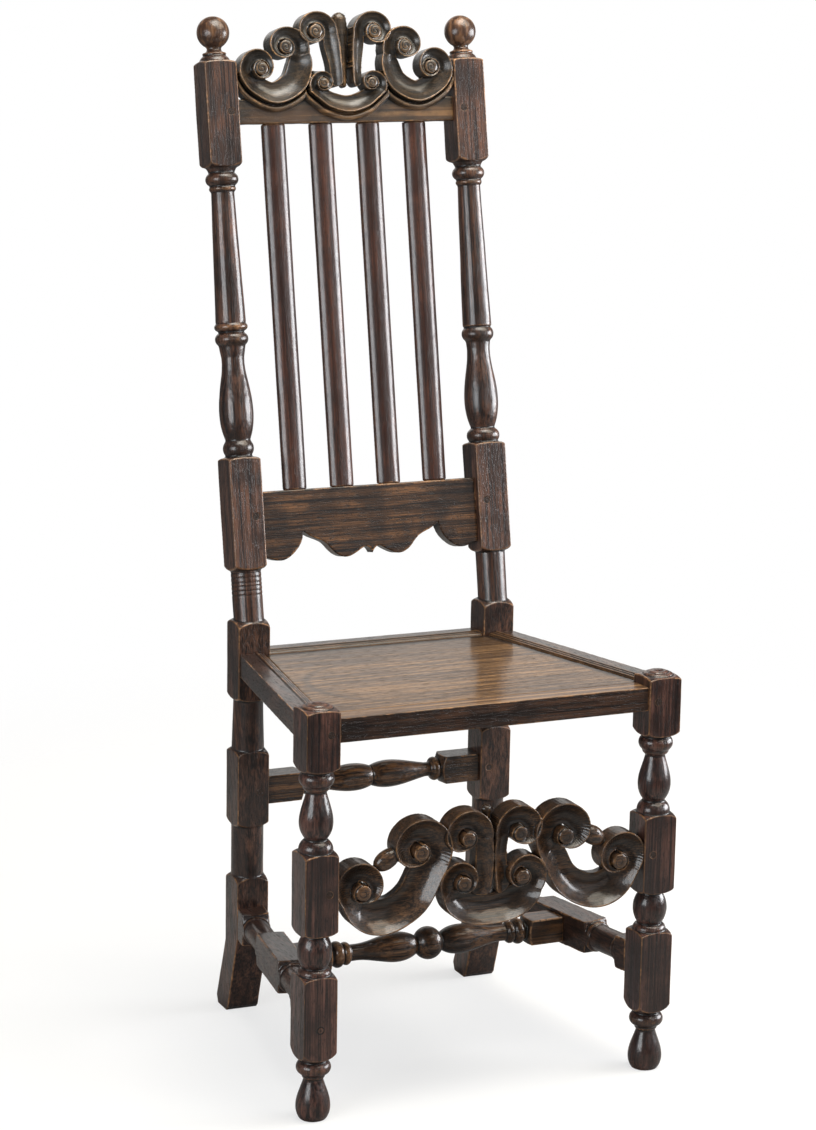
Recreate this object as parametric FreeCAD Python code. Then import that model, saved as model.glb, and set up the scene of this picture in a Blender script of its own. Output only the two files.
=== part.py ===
import FreeCAD, Part
import math

# High-back side chair of joined oak: turned and squared posts and legs, carved crest and
# front stretcher, four bowed slats and a panelled seat, held by pegged mortises and tenons.
# Millimetres. X to the right as the chair is seen from the front, Y to the back, Z up.
# The origin is on the floor, under the middle of the whole chair.

V = FreeCAD.Vector
SIDES = {"left": -1, "right": 1}

# Driving dimensions
BLOCK = 41.0                    # square left on the posts and legs
FRONT_HALF = 215.0              # middle of the chair to a front leg's axis
BACK_HALF = 164.0               # middle of the chair to a back post's axis
SEAT_DEPTH = 342.8              # front leg axes to back post axes
RAKE = math.radians(10.75)      # lean of the back
SEAT_Z = 475.0                  # top of the front seat rail, at the leg axes
RISE = SEAT_Z / 475.0           # lengths below the seat follow its height
BEND_Z = 508.0 * RISE           # height where the back starts to lean
SEAT_SLOPE = math.radians(2.0)  # fall of the seat and side stretchers to the back
STRETCHER_Z = 136.0 * RISE      # side stretchers' axis, at the front legs
CREST_S = 609.5                 # crest rail's middle, along the leaning axis from the bend
FINIAL_S = CREST_S + 95.9       # finial ball's centre
FINIAL_R = 19.9
CARVED_SET = 2.0                # carved stretcher's rims behind the legs' faces
EYE_PROUD = 5.0                 # how far a scroll's eye stands out of its rims

# Fits shared by a hole and what goes in it
FIT = 0.1                       # room on each side of a tenon, tongue or peg
END_ROOM = 1.0                  # room past the end of a tenon
PEG_R = 3.6
TENON = 24.0                    # length of a rail's tenon
TENON_T = 9.0                   # thickness of a rail's tenon
ROOT = 2.0                      # how far a tenon's root goes back into its own piece

# Places that follow from them
FRONT_GROW = (FRONT_HALF - BLOCK / 2) / 194.5   # carvings grow with the space that they fill
BACK_GROW = (BACK_HALF - BLOCK / 2) / 143.5
AHEAD = BLOCK / 2 + EYE_PROUD * FRONT_GROW - CARVED_SET
DEPTH = AHEAD + SEAT_DEPTH + FINIAL_S * math.sin(RAKE) + FINIAL_R
FRONT_Y = -DEPTH / 2 + AHEAD
BACK_Y = FRONT_Y + SEAT_DEPTH
HALF = BLOCK / 2
PAST_CORNER = BLOCK * 0.72      # turning radius that leaves the square whole
UPRIGHT = FreeCAD.Rotation()
LEAN = FreeCAD.Rotation(V(1, 0, 0), -math.degrees(RAKE))
FALL = FreeCAD.Rotation(V(1, 0, 0), -math.degrees(SEAT_SLOPE))
BACK = FreeCAD.Placement(V(0, BACK_Y, BEND_Z), LEAN)
SPLAY = math.degrees(math.atan2(FRONT_HALF - BACK_HALF, SEAT_DEPTH))

parts = {}


def box(x0, x1, y0, y1, z0, z1, place=FreeCAD.Placement()):
    """Block between two corners, moved to a place."""
    return moved(Part.makeBox(x1 - x0, y1 - y0, z1 - z0, V(x0, y0, z0)), place)


def moved(shape, place):
    """Copy of a shape, carried from its own frame to a place."""
    copy = shape.copy()
    copy.Placement = place.multiply(copy.Placement)
    return copy


def mirrored(shape):
    """The same piece for the other side of the chair."""
    return shape.mirror(V(0, 0, 0), V(1, 0, 0))


class Turning:
    """Half profile of a turned length, cut by cut from the bottom up."""

    def __init__(self, radius, z, stretch=1.0):
        self.stretch = stretch
        self.first = self.last = self.at(radius, z)
        self.edges = []

    def at(self, radius, z):
        return V(radius, 0, z * self.stretch)

    def line(self, radius, z):
        end = self.at(radius, z)
        self.edges.append(Part.makeLine(self.last, end))
        self.last = end
        return self

    def arc(self, mid_radius, mid_z, radius, z):
        end = self.at(radius, z)
        self.edges.append(Part.Arc(self.last, self.at(mid_radius, mid_z), end).toShape())
        self.last = end
        return self

    def bead(self, radius, z):
        """Half-round ring that goes out to a radius and back."""
        return self.arc(radius, (self.last.z / self.stretch + z) / 2, self.last.x, z)

    def flow(self, *points):
        """Vase-like curve through radius and height pairs."""
        curve = Part.BSplineCurve()
        curve.interpolate([self.last] + [self.at(r, z) for r, z in points])
        self.edges.append(curve.toShape())
        self.last = self.at(*points[-1])
        return self

    def square(self, face0, arris0, arris1, face1, neck):
        """Length left square, with rounded shoulders down to a neck at each end."""
        self.line(neck, face0)
        bulge = 0.3
        self.arc((neck + PAST_CORNER) / 2, face0 + bulge * (arris0 - face0), PAST_CORNER, arris0)
        self.line(PAST_CORNER, arris1)
        return self.arc((neck + PAST_CORNER) / 2, face1 - bulge * (face1 - arris1), neck, face1)

    def solid(self):
        top, foot = V(0, 0, self.last.z), V(0, 0, self.first.z)
        outline = list(self.edges)
        for start, end in ((self.last, top), (top, foot), (foot, self.first)):
            if start.sub(end).Length > 1e-6:
                outline.append(Part.makeLine(start, end))
        face = Part.Face(Part.Wire(outline))
        return face.revolve(V(0, 0, 0), V(0, 0, 1), 360)


def squared(turning, z0, z1, half_x=HALF, half_y=HALF):
    """Turned length cut from a square timber."""
    return turning.solid().common(box(-half_x, half_x, -half_y, half_y, z0, z1))


class Tenon:
    """Tongue along local X, and the mortise that is FIT wider all round."""

    def __init__(self, place, reach, thick, height):
        self.place, self.reach, self.thick, self.height = place, reach, thick, height

    def tongue(self):
        t, h = self.thick / 2, self.height / 2
        return box(-ROOT, self.reach, -t, t, -h, h, self.place)

    def mortise(self):
        t, h = self.thick / 2 + FIT, self.height / 2 + FIT
        return box(-ROOT, self.reach + END_ROOM, -t, t, -h, h, self.place)


def join(guest, host, tenon):
    """Puts a tenon on one piece and its mortise in another."""
    parts[guest] = parts[guest].fuse(tenon.tongue()).removeSplitter()
    parts[host] = parts[host].cut(tenon.mortise())


def pin(pegs, start, along, length, *pinned):
    """Drives a peg through the pieces that it pins."""
    peg = Part.makeCylinder(PEG_R, length, start, along)
    hole = Part.makeCylinder(PEG_R + FIT, length + END_ROOM, start.sub(along * END_ROOM / 4), along)
    hole = hole.fuse(Part.makeCylinder(PEG_R + FIT, 4 * END_ROOM, start.sub(along * 4 * END_ROOM), along))
    parts.setdefault(pegs, []).append(peg)
    for name in pinned:
        parts[name] = parts[name].cut(hole)


def facing(side):
    """Turn of a tenon that points out to one side of the chair."""
    return FreeCAD.Rotation(V(0, 0, 1), 0 if side > 0 else 180)


def seat_point(side, along, z):
    """Point over the line from a front leg to the back post behind it, along 0 to 1."""
    x = side * (FRONT_HALF + (BACK_HALF - FRONT_HALF) * along)
    return V(x, FRONT_Y + SEAT_DEPTH * along, z - SEAT_DEPTH * along * math.tan(SEAT_SLOPE))


def side_run(side, z):
    """Frame along a side of the chair: local X from the leg's axis to the post, Z up."""
    turn = FreeCAD.Rotation(V(0, 0, 1), 90 + side * SPLAY)
    fall = FreeCAD.Rotation(V(0, 1, 0), math.degrees(SEAT_SLOPE))
    return FreeCAD.Placement(seat_point(side, 0, z), turn.multiply(fall))


SIDE_LENGTH = math.hypot(FRONT_HALF - BACK_HALF, SEAT_DEPTH) / math.cos(SEAT_SLOPE)


def leg_square(side):
    """Whole square timber of a front leg, used to cut the shoulders of what meets it."""
    return box(-HALF, HALF, -HALF, HALF, 0, SEAT_Z + 60,
               FreeCAD.Placement(V(side * FRONT_HALF, FRONT_Y, 0), UPRIGHT))


def post_square(side):
    """Whole square timber of a back post below the bend."""
    return box(-HALF, HALF, -HALF, HALF, 0, BEND_Z,
               FreeCAD.Placement(V(side * BACK_HALF, BACK_Y, 0), UPRIGHT))


def lean_square(side):
    """Whole square timber of a back post above the bend."""
    return box(side * BACK_HALF - HALF, side * BACK_HALF + HALF, -HALF, HALF, 0, FINIAL_S + 100, BACK)


# Front legs: vase foot, two squared lengths with a ball between, pear, ring and domed cap
FOOT_R = 20.2
LOW_SQUARE = (84.6, 169.2)
CARVED_SQUARE = (228.0, 314.2)
SEAT_SQUARE = (420.1, 482.6)
for name, side in SIDES.items():
    leg = Turning(15.5, 0, RISE).flow((FOOT_R, 14), (17.0, 31), (11.5, 47)).line(11.5, 50)
    leg.line(13.0, 50).line(14.0, 54).bead(FOOT_R, 70)
    leg.square(74, LOW_SQUARE[0], LOW_SQUARE[1], 174, 19.6)
    leg.arc(19.0, 178, 14.0, 182).bead(FOOT_R, 220)
    leg.square(222, CARVED_SQUARE[0], CARVED_SQUARE[1], 319, 19.6)
    leg.arc(18.5, 327, 13.2, 333).line(13.2, 335)
    leg.flow((19.4, 357), (16.0, 373), (11.4, 389)).line(13.6, 391).line(15.3, 393).line(16.0, 396)
    leg.bead(FOOT_R, 412)
    leg.square(414, SEAT_SQUARE[0], SEAT_SQUARE[1], 486, 18.5)
    leg.line(17.5, 486).line(17.5, 487).arc(15.4, 488.6, 12.6, 489).arc(9.9, 490.8, 6.8, 491)
    leg.arc(3.6, 492.1, 0.01, 492.4)
    leg = squared(leg, 0, 495 * RISE)
    leg.translate(V(side * FRONT_HALF, FRONT_Y, 0))
    parts["front_leg_" + name] = leg

# Back posts: raked foot, plain round lengths between squares, then the leaning turned length
HEEL = 32.0                     # how far the foot sweeps back
HEEL_Z = 105.0 * RISE           # height where the sweep starts
ROUND_R = 20.0                  # round lengths below the seat
REAR_LOW_TOP = 174.2
REAR_SQUARE = (253.4, 336.2)
REAR_SEAT_SQUARE = (412.0, 497.5)
RAIL_SQUARE = (63.5, 190.6)     # along the lean, as are the figures below
CREST_SQUARE = (CREST_S - 60.0, CREST_S + 58.5)
RING_R = 20.3


def foot_block():
    """Square bottom length of a back post, with its foot swept back."""
    worn = 5.0
    top = (REAR_LOW_TOP + 20) * RISE
    side_view = [(-HALF, top), (-HALF, HEEL_Z), (HEEL - HALF, worn),
                 (HEEL - HALF + worn, 0), (HEEL + HALF - worn - 2, 0), (HEEL + HALF - 2, 2 * worn),
                 (HALF, HEEL_Z - 12), (HALF, top)]
    outline = Part.makePolygon([V(-HALF, y, z) for y, z in side_view + side_view[:1]])
    return Part.Face(outline).extrude(V(BLOCK, 0, 0))


def middle_rings(turning, paired):
    """Belly, neck and ring of the leaning length; one post has its ring cut in two."""
    if paired:
        turning.line(16.8, 194.4).line(16.0, 196.4).bead(18.9, 212.7).line(15.0, 214.8)
        turning.flow((20.8, 253.4), (17.6, 281), (13.8, 306.4), (15.6, 324.7)).line(16.4, 329.8)
        turning.bead(RING_R, 344).line(15.3, 345).line(15.3, 346.2).line(17.0, 347.1)
        return turning.bead(RING_R, 356.2).line(18.5, 357.3)
    turning.line(15.5, 193.4).bead(20.6, 210.7).line(14.6, 211.7)
    turning.flow((21.0, 248.4), (17.8, 279), (14.4, 306.4), (15.2, 318)).line(15.6, 320.6)
    return turning.bead(RING_R, 337.9).line(18.2, 339)


for name, side in SIDES.items():
    low = Turning(PAST_CORNER, 0, RISE).line(PAST_CORNER, REAR_LOW_TOP)
    low.arc(PAST_CORNER - 6, 180, ROUND_R, 182)
    low.square(247, REAR_SQUARE[0], REAR_SQUARE[1], 342.5, ROUND_R)
    low.square(406, REAR_SEAT_SQUARE[0], REAR_SEAT_SQUARE[1], 505, 18.4).line(17, 507)
    low = squared(low, HEEL_Z + 20, BEND_Z)
    foot = foot_block().common(box(-HALF, HALF, -HALF, 4 * HALF, 0, HEEL_Z + 20))
    low = low.fuse(foot).removeSplitter()
    low.translate(V(side * BACK_HALF, BACK_Y, 0))
    high = Turning(18.4, -12).line(18.4, 56)
    high.square(57, RAIL_SQUARE[0], RAIL_SQUARE[1], 194, 17.5)
    middle_rings(high, side < 0)
    high.line(14.2, CREST_S - 98.0).line(14.2, CREST_S - 95.0).bead(16.5, CREST_S - 87.8)
    high.line(15.5, CREST_S - 87.6).bead(RING_R, CREST_S - 72.5)
    high.square(CREST_S - 66.0, CREST_SQUARE[0], CREST_SQUARE[1], CREST_S + 61.5, 18.8)
    high.arc(17.2, CREST_S + 65.2, 13.4, CREST_S + 68.0).line(13.4, CREST_S + 68.8)
    high.bead(14.6, CREST_S + 72.0).arc(10.0, CREST_S + 73.4, 8.8, CREST_S + 76.5)
    high.line(9.2, CREST_S + 78.4)
    high.arc(FINIAL_R, FINIAL_S, 0.01, FINIAL_S + FINIAL_R)
    high = moved(squared(high, -20, FINIAL_S + 2 * FINIAL_R), FreeCAD.Placement(V(side * BACK_HALF, 0, 0), UPRIGHT))
    parts["back_post_" + name] = low.fuse(moved(high, BACK)).removeSplitter()

# Carved ribbons: flat outlines in the piece's own plane, drawn as X across and Z up


def spline(points):
    """Smooth edge through points of a carving's plane."""
    curve = Part.BSplineCurve()
    curve.interpolate([V(x, 0, z) for x, z in points])
    return curve.toShape()


def leaf_of(edges, thick):
    """Solid of a closed outline, carved back from the plane by a thickness."""
    return Part.Face(Part.Wire(Part.__sortEdges__(edges))).extrude(V(0, thick, 0))


def seg(a, b):
    return Part.makeLine(V(a[0], 0, a[1]), V(b[0], 0, b[1]))


def round_edge(centre, radius, start, end):
    """Arc of a carving's plane between two angles in degrees."""
    def at(angle):
        a = math.radians(angle)
        return V(centre[0] + radius * math.cos(a), 0, centre[1] + radius * math.sin(a))
    return Part.Arc(at(start), at((start + end) / 2), at(end)).toShape()


def on_circle(centre, radius, angle):
    a = math.radians(angle)
    return centre[0] + radius * math.cos(a), centre[1] + radius * math.sin(a)


def volute(centre, radius, thick, eye, proud, rim):
    """Curled end of a ribbon: a disc hollowed round a raised eye."""
    at = V(centre[0], 0, centre[1])
    disc = Part.makeCylinder(radius, thick, at, V(0, 1, 0))
    bore = (radius - rim - eye) / 2
    ring = Part.makeTorus(eye + bore, bore, at, V(0, 1, 0))
    boss = Part.makeCone(eye, eye * 0.8, proud + thick / 2, V(at.x, thick / 2, at.z), V(0, -1, 0))
    return disc.cut(ring).fuse(boss)


def hollow(points, radius, depth):
    """Gouge for a ribbon's scooped face, run along its middle."""
    path = spline(points)
    start = path.valueAt(path.FirstParameter)
    tangent = path.tangentAt(path.FirstParameter)
    lift = V(0, depth - radius, 0)
    ring = Part.Wire(Part.makeCircle(radius, start + lift, tangent))
    path.translate(lift)
    return Part.Wire(path).makePipe(Part.Face(ring))


def carving(ribbons, volutes, gouges):
    """Fuses ribbons, hollows them and sets the volutes' curls on their ends."""
    body = ribbons[0].fuse(ribbons[1:]) if len(ribbons) > 1 else ribbons[0]
    for gouge in gouges:
        body = body.cut(gouge)
    for centre, radius, thick, eye, proud, rim in volutes:
        clear = Part.makeCylinder(radius - rim, thick / 2, V(centre[0], -thick / 4, centre[1]), V(0, 1, 0))
        body = body.cut(clear).fuse(volute(centre, radius, thick, eye, proud, rim))
    return body


def both(shape):
    return shape.fuse(mirrored(shape))


def set_out(shape, drawn_z, grow, place):
    """Carries a carving from its drawing to its place, grown about its tenons' middle."""
    shape = shape.copy()
    shape.translate(V(0, 0, -drawn_z))
    shape = shape.scaled(grow)
    shape.translate(place)
    return shape


# Front stretcher: two wide scrolls, a middle scroll under two upright ones, buds between
CARVED_T = 27.0                 # thickness of the carved board
EYE_R, RIM = 6.5, 3.0
WIDE = (137.6, 297.4)           # centre of a wide scroll's long sweep
WIDE_R = 80.6
TIGHT_R = 60.0
TIGHT = (WIDE[0], WIDE[1] - WIDE_R + TIGHT_R)
BIG_CURL, BIG_CURL_R = (90.0, 321.5), 28.5
END_CURL, END_CURL_R = (168.5, 276.5), 26.5
LOW_CURL, LOW_CURL_R = (42.0, 271.0), 20.0
TOP_CURL, TOP_CURL_R = (39.5, 328.5), 23.0
LOW_SWEEP, LOW_SWEEP_R = (0.0, 306.0), 95.0
LOW_MEET = -58.2                # angle where the two sweeps of the middle scroll meet
LOW_TURN_R = 38.0
LOW_TURN = on_circle(LOW_SWEEP, LOW_SWEEP_R - LOW_TURN_R, LOW_MEET)


def wide_scroll():
    """Pierced C-scroll at the right of the front stretcher."""
    start = on_circle(WIDE, WIDE_R, 151)
    inner = [END_CURL, (149.0, 257.5), (129.0, 253.0), (109.0, 268.0), (97.0, 291.0), BIG_CURL]
    edges = [round_edge(WIDE, WIDE_R, 151, 270), round_edge(TIGHT, TIGHT_R, 270, 360),
             seg(on_circle(TIGHT, TIGHT_R, 360), END_CURL), spline(inner), seg(BIG_CURL, start)]
    return leaf_of(edges, CARVED_T)


def low_scroll():
    """Pierced C-scroll in the middle of the front stretcher."""
    left, right = (-LOW_CURL[0], LOW_CURL[1]), LOW_CURL
    turn_end = 20
    right_end = on_circle(LOW_TURN, LOW_TURN_R, turn_end)
    edges = [round_edge(LOW_SWEEP, LOW_SWEEP_R, -180 - LOW_MEET, LOW_MEET),
             round_edge(LOW_TURN, LOW_TURN_R, LOW_MEET, turn_end), seg(right_end, right),
             spline([right, (22.0, 252.0), (0.0, 243.7), (-22.0, 252.0), left]),
             seg(left, (-right_end[0], right_end[1])),
             round_edge((-LOW_TURN[0], LOW_TURN[1]), LOW_TURN_R, 180 - turn_end, 180 - LOW_MEET)]
    return leaf_of(edges, CARVED_T)


def stem(centre_edge, outer_edge, curl):
    """Upright ribbon that rises along the middle and curls outward."""
    edges = [spline(centre_edge), seg(centre_edge[-1], curl), seg(curl, outer_edge[0]),
             spline(outer_edge), seg(outer_edge[-1], centre_edge[0])]
    return leaf_of(edges, CARVED_T)


def bud(foot, top, half, thick):
    """Pointed bud between the upright ribbons."""
    mid = foot + (top - foot) * 0.7
    edges = [spline([(0, foot), (half, mid), (0, top)]), spline([(0, top), (-half, mid), (0, foot)])]
    return leaf_of(edges, thick)


front_stems = stem([(0.5, 262.0), (0.8, 300.0), (6.0, 331.0), (22.0, 346.5)],
                   [(19.0, 318.0), (18.5, 300.0), (25.0, 274.0), (27.0, 262.0)], TOP_CURL)
bead = Part.makeSphere(1.0)
bead_size = FreeCAD.Matrix()
bead_size.scale(18.0, 10.0, 11.5)
bead = bead.transformGeometry(bead_size)
bead.rotate(V(0, 0, 0), V(0, 1, 0), 30)
bead.translate(V(131.5, CARVED_T / 2 - 2, 300.5))
half_gouges = [hollow([(78, 312), (76, 290), (91, 258), (134, 235), (163, 246), (176, 268)], 17.0, 8.0)]
low_gouge = hollow([(-50, 262), (-38, 241), (0, 227), (38, 241), (50, 262)], 15.0, 7.0)
stem_gouge = hollow([(10, 262), (9.5, 300), (15, 326), (24, 336)], 9.0, 4.5)
stretcher = carving(
    [both(wide_scroll()), low_scroll(), both(front_stems), bud(318, 351, 8, CARVED_T)],
    [((s * c[0], c[1]), r, CARVED_T, EYE_R, EYE_PROUD, RIM) for s in (-1, 1)
     for c, r in ((BIG_CURL, BIG_CURL_R), (END_CURL, END_CURL_R),
                  (LOW_CURL, LOW_CURL_R), (TOP_CURL, TOP_CURL_R))],
    half_gouges + [mirrored(g) for g in half_gouges] + [low_gouge, stem_gouge, mirrored(stem_gouge)])
FRONT_TENON_Z = 272.0 * RISE
stretcher = set_out(stretcher.fuse(both(bead)), 272.0, FRONT_GROW,
                    V(0, FRONT_Y - HALF + CARVED_SET, FRONT_TENON_Z))
for side in SIDES.values():
    stretcher = stretcher.cut(leg_square(side))
parts["front_stretcher"] = stretcher.removeSplitter()
for name, side in SIDES.items():
    at = V(side * (FRONT_HALF - HALF), FRONT_Y - HALF + CARVED_SET + CARVED_T / 2, FRONT_TENON_Z)
    join("front_stretcher", "front_leg_" + name,
         Tenon(FreeCAD.Placement(at, facing(side)), TENON, TENON_T, 30.0))
    pin("front_stretcher_pegs", V(side * (FRONT_HALF - 9), FRONT_Y - HALF, FRONT_TENON_Z), V(0, 1, 0),
        34.0, "front_stretcher", "front_leg_" + name)

# Crest rail: plain board, three scrolls in relief over it and two upright ones, in the lean
CREST_T = 20.0
CREST_FRONT = -12.0             # board's face in front of the posts' axes
SCROLL_FRONT = -23.0            # scrolls' rims
CREST_LOW, CREST_TOP = CREST_S - 15.0, CREST_S + 14.5
SCROLL_T = 25.0
ARCH, ARCH_R = (93.0, 664.0), 48.0
OUTER_CURL, OUTER_CURL_R = (117.0, 660.0), 22.0
INNER_CURL, INNER_CURL_R = (75.0, 681.0), 23.0
MID_ARCH, MID_ARCH_R = (0.0, 655.0), 54.0
MID_CURL, MID_CURL_R = (35.0, 637.5), 15.0
HIGH_CURL, HIGH_CURL_R = (41.0, 703.5), 20.5


def crest_scroll():
    """C-scroll at the right of the crest."""
    edges = [round_edge(ARCH, ARCH_R, 140, 365), seg(on_circle(ARCH, ARCH_R, 365), OUTER_CURL),
             spline([OUTER_CURL, (106.0, 642.5), (94.5, 639.0), (83.0, 643.0), (75.0, 659.0), INNER_CURL]),
             seg(INNER_CURL, on_circle(ARCH, ARCH_R, 140))]
    return leaf_of(edges, SCROLL_T)


def middle_scroll():
    """C-scroll in the middle of the crest."""
    turn = -14
    end = on_circle(MID_ARCH, MID_ARCH_R, turn)
    edges = [round_edge(MID_ARCH, MID_ARCH_R, -180 - turn, turn), seg(end, MID_CURL),
             spline([MID_CURL, (20.0, 627.0), (0.0, 621.0), (-20.0, 627.0), (-MID_CURL[0], MID_CURL[1])]),
             seg((-MID_CURL[0], MID_CURL[1]), (-end[0], end[1]))]
    return leaf_of(edges, SCROLL_T)


crest_stems = stem([(2.0, 641.0), (3.0, 683.0), (8.5, 708.0), (24.0, 720.5)],
                   [(26.5, 690.0), (23.5, 664.0), (22.0, 641.0)], HIGH_CURL)
arch_gouge = hollow([(58, 678), (57, 662), (68, 638), (94, 627.5), (118, 638), (130, 658)], 11.0, 7.0)
mid_gouge = hollow([(-42, 634), (-28, 618), (0, 611), (28, 618), (42, 634)], 9.0, 6.0)
crest_stem_gouge = hollow([(12, 641), (14, 683), (19, 704), (29, 713)], 10.0, 5.0)
crest = carving(
    [both(crest_scroll()), middle_scroll(), both(crest_stems), bud(679, 724, 9.5, SCROLL_T)],
    [((s * c[0], c[1]), r, SCROLL_T, eye, EYE_PROUD, RIM) for s in (-1, 1)
     for c, r, eye in ((OUTER_CURL, OUTER_CURL_R, 6.0), (INNER_CURL, INNER_CURL_R, 6.0),
                       (MID_CURL, MID_CURL_R, 5.0), (HIGH_CURL, HIGH_CURL_R, 6.0))],
    [arch_gouge, mirrored(arch_gouge), mid_gouge, crest_stem_gouge, mirrored(crest_stem_gouge)])
crest = set_out(crest, 604.5, BACK_GROW, V(0, SCROLL_FRONT, CREST_S))
board = box(-BACK_HALF, BACK_HALF, CREST_FRONT, CREST_FRONT + CREST_T, CREST_LOW, CREST_TOP)
crest = moved(crest.fuse(board), BACK)
for side in SIDES.values():
    crest = crest.cut(lean_square(side))
parts["crest_rail"] = crest.removeSplitter()

# Lower back rail: shaped lower edge of lobes and cusps
RAIL_T = 20.0
RAIL_FRONT = -12.0
LOWER_S = 122.0                 # middle of the lower rail's tenons
LOWER_TOP = LOWER_S + 28.4 * BACK_GROW
LOBE, NOTCH, CUSP, POINT = 61.5, 96.0, 71.5, 62.5


def lower_edge():
    """Right half of the rail's lower edge, from the middle point to the post."""
    return [spline([(0, POINT), (2.5, 67.5), (9.5, CUSP)]),
            spline([(9.5, CUSP), (20.0, 65.5), (36.0, LOBE - 1.5), (52.0, 68.0), (62.0, 79.0), (77.0, 86.5),
                    (90.5, NOTCH)]),
            spline([(90.5, NOTCH), (94.0, 82.0), (103.0, 70.5), (120.0, LOBE), (141.0, 66.5),
                    (146.0, 67.5)])]


def mirror_edges(edges):
    return [edge.mirror(V(0, 0, 0), V(1, 0, 0)) for edge in edges]


END_X, DRAWN_TOP = 146.0, 146.4
outline = lower_edge() + mirror_edges(lower_edge()) + [
    seg((END_X, 67.5), (END_X, DRAWN_TOP)), seg((END_X, DRAWN_TOP), (-END_X, DRAWN_TOP)),
    seg((-END_X, DRAWN_TOP), (-END_X, 67.5))]
lower = set_out(leaf_of(outline, RAIL_T), 118.0, BACK_GROW, V(0, RAIL_FRONT, LOWER_S))
lower = moved(lower, BACK)
for side in SIDES.values():
    lower = lower.cut(lean_square(side))
parts["lower_back_rail"] = lower.removeSplitter()

BACK_JOINTS = {"crest_rail": (CREST_S, 22.0, CREST_FRONT + CREST_T / 2),
               "lower_back_rail": (LOWER_S, 42.0, RAIL_FRONT + RAIL_T / 2)}
for rail, (s, height, y) in BACK_JOINTS.items():
    for name, side in SIDES.items():
        place = BACK.multiply(FreeCAD.Placement(V(side * (BACK_HALF - HALF), y, s), facing(side)))
        join(rail, "back_post_" + name, Tenon(place, TENON, TENON_T, height))
        start = BACK.multVec(V(side * (BACK_HALF - 10), -HALF, s))
        pin(rail + "_pegs", start, LEAN.multVec(V(0, 1, 0)), 32.0, rail, "back_post_" + name)

# Slats: bowed faces and flat backs, tongued into the crest and the lower rail
SLAT_W, SLAT_PITCH = 30.0, 62.5 * BACK_GROW
SLAT_EDGE, SLAT_BOW = 6.0, 7.5
SLAT_TONGUE, SLAT_TONGUE_T = 12.0, 6.0
SLAT_BACK = 4.0
for number in range(4):
    x = (number - 1.5) * SLAT_PITCH
    half = SLAT_W / 2
    face = Part.Face(Part.Wire([
        Part.makeLine(V(-half, SLAT_BACK, 0), V(half, SLAT_BACK, 0)),
        Part.makeLine(V(half, SLAT_BACK, 0), V(half, SLAT_BACK - SLAT_EDGE, 0)),
        Part.Arc(V(half, SLAT_BACK - SLAT_EDGE, 0), V(0, SLAT_BACK - SLAT_EDGE - SLAT_BOW, 0),
                 V(-half, SLAT_BACK - SLAT_EDGE, 0)).toShape(),
        Part.makeLine(V(-half, SLAT_BACK - SLAT_EDGE, 0), V(-half, SLAT_BACK, 0))]))
    slat = face.extrude(V(0, 0, CREST_LOW - LOWER_TOP))
    slat.translate(V(x, 0, LOWER_TOP))
    slat_name = "back_slat_%d" % (number + 1)
    parts[slat_name] = moved(slat, BACK)
    for rail, s, turn in (("crest_rail", CREST_LOW, -90), ("lower_back_rail", LOWER_TOP, 90)):
        up = FreeCAD.Rotation(V(0, 1, 0), turn)
        place = BACK.multiply(FreeCAD.Placement(V(x, SLAT_BACK - SLAT_EDGE / 2 - 1, s), up))
        join(slat_name, rail, Tenon(place, SLAT_TONGUE, SLAT_TONGUE_T, SLAT_W - 9))

# Seat: four rails tenoned into the legs and posts, and a panel held in their grooves
RAIL_H = 28.0
FRONT_RAIL_W = 30.0
FRONT_RAIL_SET = 3.0            # front rail's face behind the legs' faces
SIDE_RAIL_W = 32.0
SIDE_RISE = 3.0                 # side and back rails stand above the panel
BACK_RAIL_W = 32.0
PANEL_T = 12.0
TONGUE, GROOVE_T = 8.0, 6.0
MOULD_W, MOULD_DROP, REEDS = 11.0, 3.0, 3
QUIRK = 0.8                     # flat between the reeds and the panel
SEAT = FreeCAD.Placement(V(0, FRONT_Y, SEAT_Z), FALL)
SIDE_FACE = math.degrees(math.atan2(FRONT_HALF - BACK_HALF, SEAT_DEPTH - BLOCK))


def moulded(width, height):
    """Section of a side or back rail, its inner top edge run with reeds; Y inward, Z up."""
    top = SIDE_RISE
    points = [V(0, 0, top), V(0, 0, top - height), V(0, width, top - height), V(0, width, top - MOULD_DROP)]
    edges = [Part.makeLine(points[i], points[i + 1]) for i in range(3)]
    step_y, step_z = MOULD_W / REEDS, MOULD_DROP / REEDS
    start = points[3] - V(0, QUIRK, 0)
    edges.append(Part.makeLine(points[3], start))
    for _ in range(REEDS):
        end = V(0, start.y - step_y, start.z + step_z)
        middle = (start + end) * 0.5 + V(0, step_y * 0.16, step_y * 0.42)
        edges.append(Part.Arc(start, middle, end).toShape())
        start = end
    edges.append(Part.makeLine(start, points[0]))
    return Part.Face(Part.Wire(edges))


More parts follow.
